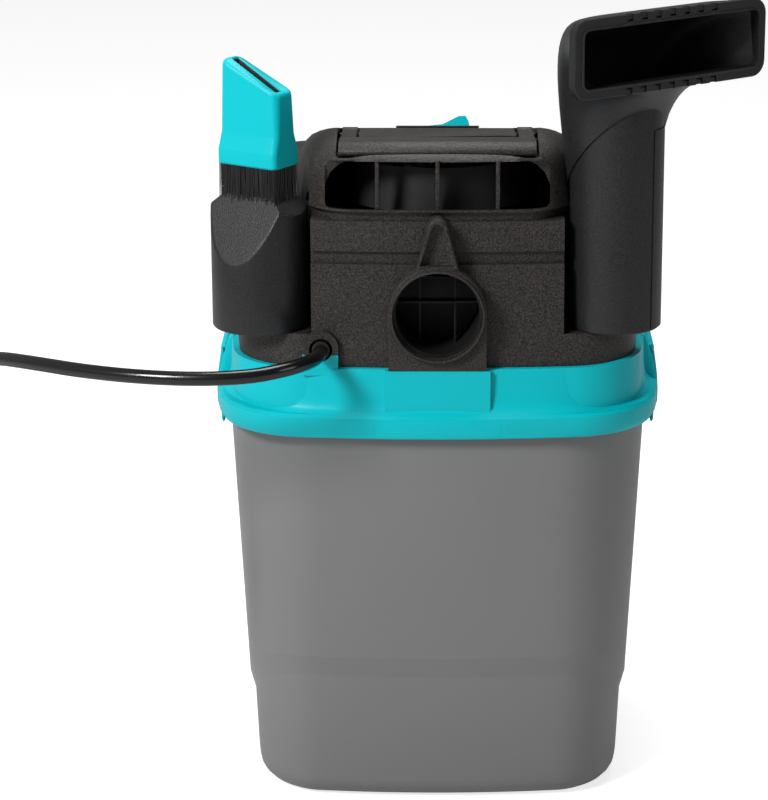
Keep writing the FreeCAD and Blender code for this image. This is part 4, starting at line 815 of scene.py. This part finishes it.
def hood(inset):
    """The cap's outside, or with an inset its inside; its shoulders follow the slope of its top."""
    levels = []
    for up, wide, deep, corner in SHOULDER:
        level = plan(wide - inset, deep - inset, corner - inset / 2, CAP_LOW + up, 10, 8)
        for point in level:
            if up > NECK:
                tall = (cap_top(point.y) - CAP_LOW - NECK) / (CAP_TOP - CAP_LOW - NECK)
                point.z = CAP_LOW + NECK + (up - NECK) * tall - inset
        levels.append(level)
    levels[0] = [Vector((point.x, point.y, CAP_LOW - inset)) for point in levels[0]]
    levels.append([point + Vector((0, 0, 3)) for point in levels[-1]])
    side = [(-114, CAP_LOW - 6), (-114 + inset, CAP_LOW + 4.5), (-107 + inset, CAP_TOP - 12 - inset),
            (-104.4 + inset, CAP_TOP - 7.6 - inset), (-100 + inset, cap_top(-100) - inset),
            (RIDGE_Y, CAP_TOP - inset), (98 - inset, cap_top(98) - inset),
            (106 - inset, CAP_TOP - 36.5 - inset), (114, CAP_LOW - 6)]
    return solid_cut(loft(levels), prism(side, "X", -90, 90), "INTERSECT")


cap = solid_cut(hood(0), hood(CAP_WALL))

# %% Exhaust window
WINDOW_HALF, WINDOW_LOW, WINDOW_HIGH = 61.4, 348.8, 374.6
window = prism([(-WINDOW_HALF, WINDOW_LOW), (WINDOW_HALF, WINDOW_LOW), (WINDOW_HALF, WINDOW_HIGH),
                (-WINDOW_HALF, WINDOW_HIGH)], "Y", -125, -96)
corners = [edge for edge in window.edges if abs(edge.verts[0].co.y - edge.verts[1].co.y) > 20]
bmesh.ops.bevel(window, geom=corners, offset=3, offset_type="OFFSET", affect="EDGES", segments=5, profile=0.5,
                material=-1)
cap = solid_cut(cap, window)

# %% Handle recess, scoops and switch hole
GRIP_HALF, ARM_WIDE, HANDLE_Y, HANDLE_Z, HANDLE_TILT = 54, 9, -20, 371.4, 6
WELL_HALF, WELL_ARM = 55.4, 43.6
CREVICE_SCOOP, NOZZLE_SCOOP = 27.7, 26.4
SWITCH_Y, SWITCH_TILT = 60, -11.9


def on_pivot(shape):
    """Move a shape made in the handle's own frame to its pivot, at the tilt it rests at."""
    return placed(shape, -HANDLE_TILT, "X", (0, HANDLE_Y, HANDLE_Z))


well = block((-WELL_HALF, -80.6, -4), (WELL_HALF, -49.6, 30), 1.0)
for side in (-1, 1):
    low, high = sorted((side * WELL_ARM, side * WELL_HALF))
    well = joined(well, block((low, -52, -6), (high, 7, 30), 1.0))
on_pivot(well)
for side, radius in ((-1, CREVICE_SCOOP), (1, NOZZLE_SCOOP)):
    well = joined(well, rod(radius, (side * TOOL_X, TOOL_Y, 330), (side * TOOL_X, TOOL_Y, 420), 96))
cap = solid_cut(cap, well)
switch_hole = placed(block((-22, -10, -12), (22, 10, 20)), SWITCH_TILT, "X", (0, SWITCH_Y, cap_top(SWITCH_Y)))
cap = solid_cut(cap, switch_hole)

# %% Window ribs and the floor of the recess
RIB_STEP, RIB_HALF = 32.8, 1.1
for index in (-1, 0, 1):
    cap = joined(cap, block((index * RIB_STEP - RIB_HALF, -107.5, 347),
                            (index * RIB_STEP + RIB_HALF, -99, 376), 0.35))
well_floor = joined(block((-57, -82, -5.4), (57, -48, -4), 0.3),
                    block((-57, -49.4, -5.4), (57, -48, 3.6), 0.3))
for side in (-1, 1):
    low, high = sorted((side * 42, side * 57))
    well_floor = joined(well_floor, block((low, -50, -7.4), (high, 8.4, -6), 0.3))
cap_piece = as_piece(metres(joined(cap, on_pivot(well_floor))), "cap_hood", "head", "black_plastic",
                     "top_cap")
round_edges(cap_piece, 0.55, 2, 30)

# %% Cowl behind the window
cowl = bmesh.new()
bmesh.ops.create_cone(cowl, cap_ends=False, segments=64, radius1=58, radius2=54, depth=24)
bmesh.ops.translate(cowl, vec=(0, -38, 356.5), verts=cowl.verts)
bmesh.ops.bisect_plane(cowl, geom=cowl.verts[:] + cowl.edges[:] + cowl.faces[:], plane_co=(0, -44, 0),
                       plane_no=(0, 1, 0), clear_outer=True)
bmesh.ops.recalc_face_normals(cowl, faces=cowl.faces)
bmesh.ops.solidify(cowl, geom=cowl.faces[:], thickness=1.6)
as_piece(metres(cowl), "exhaust_cowl", "head", "dark_plastic", "air_baffle")

# %% Handle
GRIP = [(-79, -3), (-80, -1.2), (-79.4, 0.6), (-75, 4), (-72.4, 4.8), (-54, 4.8), (-51.4, 3.4), (-51, -3)]
handle = rounded(prism(GRIP, "X", -GRIP_HALF, GRIP_HALF), 0.7)
for side in (-1, 1):
    low, high = sorted((side * (GRIP_HALF - ARM_WIDE), side * GRIP_HALF))
    handle = joined(handle, block((low, -53, -3), (high, -1, 4), 0.8),
                    rounded(rod(5, (low, 0, 0), (high, 0, 0), 48), 0.6))
as_piece(metres(on_pivot(handle)), "carry_handle_grip", "handle", "black_plastic", "carry_handle")

# %% [markdown]
# ## Motor housing and blower port
# The housing keeps its packed walls. The scoops beside the tools open straight to the rear, each
# with a thin cheek, and a shallow groove runs all the way round. Round the port it gets a smooth
# arch-topped pad, a thin whole ring that stands proud of it, and a pointed flap with a raised rim
# that comes down over the ring.

# %% Housing walls
def in_millimetres(shape):
    """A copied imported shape, ready to be cut."""
    bmesh.ops.scale(shape, vec=(1 / MM, 1 / MM, 1 / MM), verts=shape.verts)
    bmesh.ops.triangulate(shape, faces=shape.faces[:])
    return shape


SHELF_Z, HOUSING_TOP, FAR = 279.6, 342.4, 140
SLOT_EDGE, CHEEK_WALL = 69.3, 3
CHEEK_PLATE = [(-86, 279), (-110.3, 279), (-105.3, HOUSING_TOP), (-86, HOUSING_TOP)]
GROOVE_LOW, GROOVE_HIGH = 318.8, 325.8
old_pad = prism([(-FAR, 260), (-114.8, 260), (-113.9, 279.5), (-108.9, HOUSING_TOP), (-108.9, 350),
                 (-FAR, 350)], "X", -29.2, 29.2)
walls = solid_cut(in_millimetres(packed_shape("motor_housing")), old_pad)
for side in (-1, 1):
    low, high = sorted((side * SLOT_EDGE, side * FAR))
    walls = solid_cut(walls, block((low, -FAR, SHELF_Z), (high, TOOL_Y, 350)))
    low, high = sorted((side * SLOT_EDGE, side * (SLOT_EDGE - CHEEK_WALL)))
    walls = joined(walls, prism(CHEEK_PLATE, "X", low, high))
groove = solid_cut(loft([plan(FAR, FAR, 50, height, 8, 8) for height in (GROOVE_LOW, GROOVE_HIGH)]),
                   loft([plan(half, half, 37, height, 8, 8)
                         for half, height in ((108.7, 310), (107.9, 335))]))
walls = solid_cut(walls, groove)
print("wall faces:", len(walls.faces))


# %% Port pad, ring and flap
PORT_Z, PORT_BORE, PORT_RING, RING_FACE, PAD_FACE, PAD_HALF = 293, 24.6, 25.8, -126, -122, 27
PAD_FOOT, PAD_BACK = 261.6, -106


def round_top(tip, height, count):
    """The points of a half circle, from right to left."""
    return [(tip * math.cos(math.pi * k / count), height + tip * math.sin(math.pi * k / count))
            for k in range(count + 1)]


def bore(radius=PORT_BORE, front=-140, back=-90, count=64):
    """A round bar along the port's axis."""
    return rod(radius, (0, front, PORT_Z), (0, back, PORT_Z), count)


def arch(half, low, centre, face, back):
    """A pad with a flat foot and a round top."""
    return prism([(-half, low), (half, low)] + round_top(half, centre, 32), "Y", back, face)


def tongue(foot, tip, low, high, face, back):
    """A flap that narrows upwards to a round tip."""
    return prism([(-foot, low), (foot, low)] + round_top(tip, high - tip, 10), "Y", back, face)


pad = solid_cut(arch(PAD_HALF, PAD_FOOT, PORT_Z, PAD_FACE, PAD_BACK), bore())
ring = solid_cut(rod(PORT_RING, (0, -104, PORT_Z), (0, RING_FACE, PORT_Z), 96), bore(count=96))
flap = solid_cut(tongue(12.6, 5.6, PORT_Z + 21.5, 346.4, -121.6, PAD_BACK),
                 tongue(9.6, 3.4, PORT_Z + 27.5, 343.6, -130, -116.8))
flap = solid_cut(flap, bore(count=96))
housing = joined(walls, rounded(pad, 0.6, 2, 50), rounded(ring, 0.35, 2, 50), rounded(flap, 0.5, 2, 50))
round_edges(as_piece(metres(housing), "motor_housing_shell", "head", "black_plastic", "motor_housing"),
            0.5, 2, 40)

# %% Port grille
DUCT_OUT, DUCT_IN, RIB_REACH = 24.4, 23, 23.4
duct = solid_cut(bore(DUCT_OUT, -118, -78), bore(DUCT_IN, -130, -70))
for x in (-9.7, 9.7):
    reach = math.sqrt(RIB_REACH ** 2 - x ** 2)
    duct = joined(duct, block((x - 0.7, -101, PORT_Z - reach), (x + 0.7, -94, PORT_Z + reach), 0.3))
reach = math.sqrt(RIB_REACH ** 2 - 6.5 ** 2)
duct = joined(duct, block((-reach, -104, PORT_Z + 2.4), (reach, -96, PORT_Z + 3.6), 0.3),
              bore(23.3, -81, -79.4))
as_piece(metres(duct), "port_grille", "head", "dark_plastic", "exhaust_duct")

# %% [markdown]
# ## Hand nozzle
# A straight tube runs up into an elbow that widens into the mouth. The elbow is a fan of plans that
# turn from a slanting oval round the tube to the upright rounded mouth, so its heel is a smooth
# round back. The mouth ends in a flat double rim with seven small notches on each lip.

# %% Nozzle elbow and tube
MOUTH_HALF, MOUTH_TALL, MOUTH_Z, MOUTH_REACH = 65.5, 21, 440, 44
NOZZLE_HALF, NOZZLE_WALL = 25.5, 2.4
NOZZLE_LOW = (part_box("utility_nozzle")[0] / MM).z
ELBOW_LOW, ELBOW_LEAN, ELBOW_PROUD, ELBOW_DEEP = 377, -47, 1.3, 18.3
TUBE_TOP, TUBE_SLOPE, TUBE_FAR = 412, 1.07, 60
ELBOW_PATH = [(0, ELBOW_LOW), (0, 425), (20, MOUTH_Z), (MOUTH_REACH, MOUTH_Z)]


def elbow_section(share, wall, count=96):
    """One section of the elbow, a share of the way from the tube to the mouth."""
    weights = [(1 - share) ** 3, 3 * share * (1 - share) ** 2, 3 * share ** 2 * (1 - share), share ** 3]
    reach = sum(weight * point[0] for weight, point in zip(weights, ELBOW_PATH))
    height = sum(weight * point[1] for weight, point in zip(weights, ELBOW_PATH))
    lean = math.radians(ELBOW_LEAN + (90 - ELBOW_LEAN) * share)
    wide = NOZZLE_HALF + ELBOW_PROUD + (MOUTH_HALF - NOZZLE_HALF - ELBOW_PROUD) * share ** 1.35 - wall
    tall = MOUTH_TALL + ELBOW_DEEP * (1 - share) ** 1.9 - wall
    power = 2 / (2 + 7 * share ** 2)
    points = []
    for index in range(count):
        angle = 2 * math.pi * index / count
        across = wide * math.copysign(abs(math.cos(angle)) ** power, math.cos(angle))
        heel = tall * math.copysign(abs(math.sin(angle)) ** power, math.sin(angle))
        points.append(Vector((across, -(reach - heel * math.cos(lean)), height + heel * math.sin(lean))))
    return points


SHARES = [index / 16 for index in range(17)]
outside = [elbow_section(share, 0) for share in SHARES]
inside = [elbow_section(share, NOZZLE_WALL) for share in reversed(SHARES)]
elbow = closed_band(outside + inside, 0.0001)
tube = closed_band([circle(NOZZLE_HALF - 0.6, NOZZLE_LOW), circle(NOZZLE_HALF, NOZZLE_LOW + 0.8),
                    circle(NOZZLE_HALF, TUBE_TOP), circle(NOZZLE_HALF - NOZZLE_WALL, TUBE_TOP),
                    circle(NOZZLE_HALF - NOZZLE_WALL, NOZZLE_LOW)], 0.0001)
slope_rise = TUBE_FAR * TUBE_SLOPE
upper = prism([(-TUBE_FAR, ELBOW_LOW + 2 + slope_rise), (TUBE_FAR, ELBOW_LOW + 2 - slope_rise),
               (TUBE_FAR, 520), (-TUBE_FAR, 520)], "X", -TUBE_FAR, TUBE_FAR)
tube = solid_cut(tube, upper)
as_piece(metres(stand_tool(joined(elbow, tube), 1, NOZZLE_TURN)), "nozzle_body", "nozzle", "tool_plastic",
         "utility_nozzle")


# %% Nozzle rim
def flat_ring(wide, tall, corner, band, low, high):
    """A rounded frame with almost straight sides, its face towards +Z."""
    outer = [plan(wide, tall, corner, height, 6, 6, BOW_STRAIGHT) for height in (low, high - 0.5)]
    outer.append(plan(wide - 0.5, tall - 0.5, corner - 0.4, high, 6, 6, BOW_STRAIGHT))
    inner = [plan(wide - band, tall - band, max(1, corner - band), height, 6, 6, BOW_STRAIGHT)
             for height in (high, low)]
    return closed_band(outer + inner)


NOTCH_STEP, NOTCH_HALF = 9.7, 2.2
rim = flat_ring(MOUTH_HALF + 0.4, MOUTH_TALL + 0.4, 8.4, 5.2, -4, 0.8)
notches = []
for index in range(-3, 4):
    for lip in (-1, 1):
        low, high = sorted((lip * (MOUTH_TALL - 3.4), lip * (MOUTH_TALL + 4)))
        notches.append(block((index * NOTCH_STEP - NOTCH_HALF, low, -1.2),
                             (index * NOTCH_STEP + NOTCH_HALF, high, 3)))
rim = solid_cut(rim, joined(*notches))
rim = joined(rim, flat_ring(MOUTH_HALF - 4.2, MOUTH_TALL - 4.2, 5, 1.2, -6, 1.6))
placed(rim, 90, "X", (0, -MOUTH_REACH, MOUTH_Z))
as_piece(metres(stand_tool(rim, 1, NOZZLE_TURN)), "nozzle_rim", "nozzle", "tool_plastic")

# %% Ejector mark and guide strip on the tube
MARK_X, MARK_Z, MARK_OUT, MARK_IN = -15, 322, 3.7, 2.9


def upright(radius, low, high):
    """An upright round bar on the tube's axis."""
    return rod(radius, (0, 0, low), (0, 0, high), 96)


mark = solid_cut(rod(MARK_OUT, (MARK_X, -30, MARK_Z), (MARK_X, -12, MARK_Z)),
                 rod(MARK_IN, (MARK_X, -40, MARK_Z), (MARK_X, -10, MARK_Z)))
skin = solid_cut(upright(NOZZLE_HALF + 0.35, 300, 345), upright(NOZZLE_HALF - 0.5, 290, 350))
mark = solid_cut(mark, skin, "INTERSECT")
strip = solid_cut(upright(NOZZLE_HALF + 0.5, 280.5, 392), upright(NOZZLE_HALF - 0.6, 270, 400))
wedge = [(0, 0)]
for turn in (-77, -48, -20):
    wedge.append((60 * math.cos(math.radians(turn)), 60 * math.sin(math.radians(turn))))
strip = solid_cut(strip, prism(wedge, "Z", 270, 410), "INTERSECT")
as_piece(metres(stand_tool(joined(mark, strip), 1, NOZZLE_TURN)), "nozzle_marks", "nozzle", "tool_plastic")

# %% [markdown]
# ## Collar cove and latches
# Above the collar's lip the wall doesn't meet it at a corner: a soft hollow runs all the way round
# between the latches. Each latch is one smooth wing that follows the same line down over the rim.

# %% Outer skin of the collar
# Each level of the hollow's profile: height and half width.
COVE = [(223.7, 124.2), (223.6, 125.6), (224.2, 126.7), (225.6, 127.2), (233.4, 127.2), (235.4, 126.8),
        (236.6, 125.8), (237.4, 124.2), (238.6, 122.4), (240.4, 121.3), (243, 120.6), (247, 120.1),
        (254, 119.7), (261.1, 119.3), (261.5, 118.9), (261.45, 117.2), (238, 117.2)]
cove = closed_band([plan(half, half, corner_of(half), height, 8, 8) for height, half in COVE])
gaps = joined(block((-140, -40, 215), (-100, 40, 256)), block((100, -40, 215), (140, 40, 256)))
cove = solid_cut(cove, gaps)
as_piece(metres(cove), "collar_skin", "head", "teal_plastic")

# %% Collar without the square ears of its latch pins
collar = in_millimetres(packed_shape("collar"))
for ear_x in (-131.3, 119.3):
    for ear_y in (-50.5, 35.5):
        collar = solid_cut(collar, block((ear_x, ear_y, 238), (ear_x + 12, ear_y + 15, 263)))
round_edges(as_piece(metres(collar), "collar_moulding", "head", "teal_plastic", "collar"), 0.8)

# %% Cheeks over the latch pins
CHEEK = [(115.5, 262.2), (117.8, 262), (119.2, 259.4), (120.9, 254), (122.8, 247.2), (124.4, 241),
         (125.5, 235), (125.8, 228), (125.4, 223.7), (122.4, 223.7), (121.4, 236), (115.5, 243)]
CHEEK_IN, CHEEK_OUT = 38.2, 48.5
for side, word in ((-1, "left"), (1, "right")):
    outline = [(side * x, z) for x, z in CHEEK]
    cheeks = joined(rounded(prism(outline, "Y", CHEEK_IN, CHEEK_OUT), 0.9, 3, 50),
                    rounded(prism(outline, "Y", -CHEEK_OUT, -CHEEK_IN), 0.9, 3, 50))
    as_piece(metres(cheeks), "latch_cheeks_" + word, "head", "teal_plastic")

# %% Latches
PIVOT_X, PIVOT_Z, LATCH_HALF = 122.5, 250, 37.6
WING = [(120.9, 253.2), (122.8, 253.6), (124.4, 251.8), (124.8, 247.4), (125.7, 241.5), (126.6, 234.5),
        (127, 226), (126.8, 219.4), (125.8, 215.4), (124.9, 212.6), (124.7, 208.2), (123.8, 206.4),
        (122.95, 207.4), (123.0, 214), (123.2, 222), (123.2, 236), (121.4, 243), (120.4, 248),
        (120.2, 251)]
for side, word in ((-1, "left"), (1, "right")):
    outline = [(side * x, z) for x, z in WING]
    wing = rounded(prism(outline, "Y", -LATCH_HALF, LATCH_HALF), 0.8, 3, 60)
    as_piece(metres(wing), "latch_wing_" + word, "latch_" + word, "teal_plastic", "latch_" + word)
    pin = rod(1.6, (side * PIVOT_X, -LATCH_HALF, PIVOT_Z), (side * PIVOT_X, LATCH_HALF, PIVOT_Z), 32)
    as_piece(metres(pin), "latch_pin_bar_" + word, "head", "shaft_steel", "latch_pin_" + word)

# %% [markdown]
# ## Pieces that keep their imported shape
# Inner pieces, pins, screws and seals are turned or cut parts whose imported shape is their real
# one, so they only get the finish of their slot. The pins are blackened steel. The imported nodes
# that a new piece stands for get their finish too, because they are still in the file.

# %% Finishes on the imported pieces
for node, piece in NODES.items():
    piece.data.materials.clear()
    piece.data.materials.append(FINISHES["pin_steel" if "pin" in node else SLOT_OF[node]])
print("packed pieces with a finish:", len(NODES))

# %% The end
bpy.context.view_layer.update()
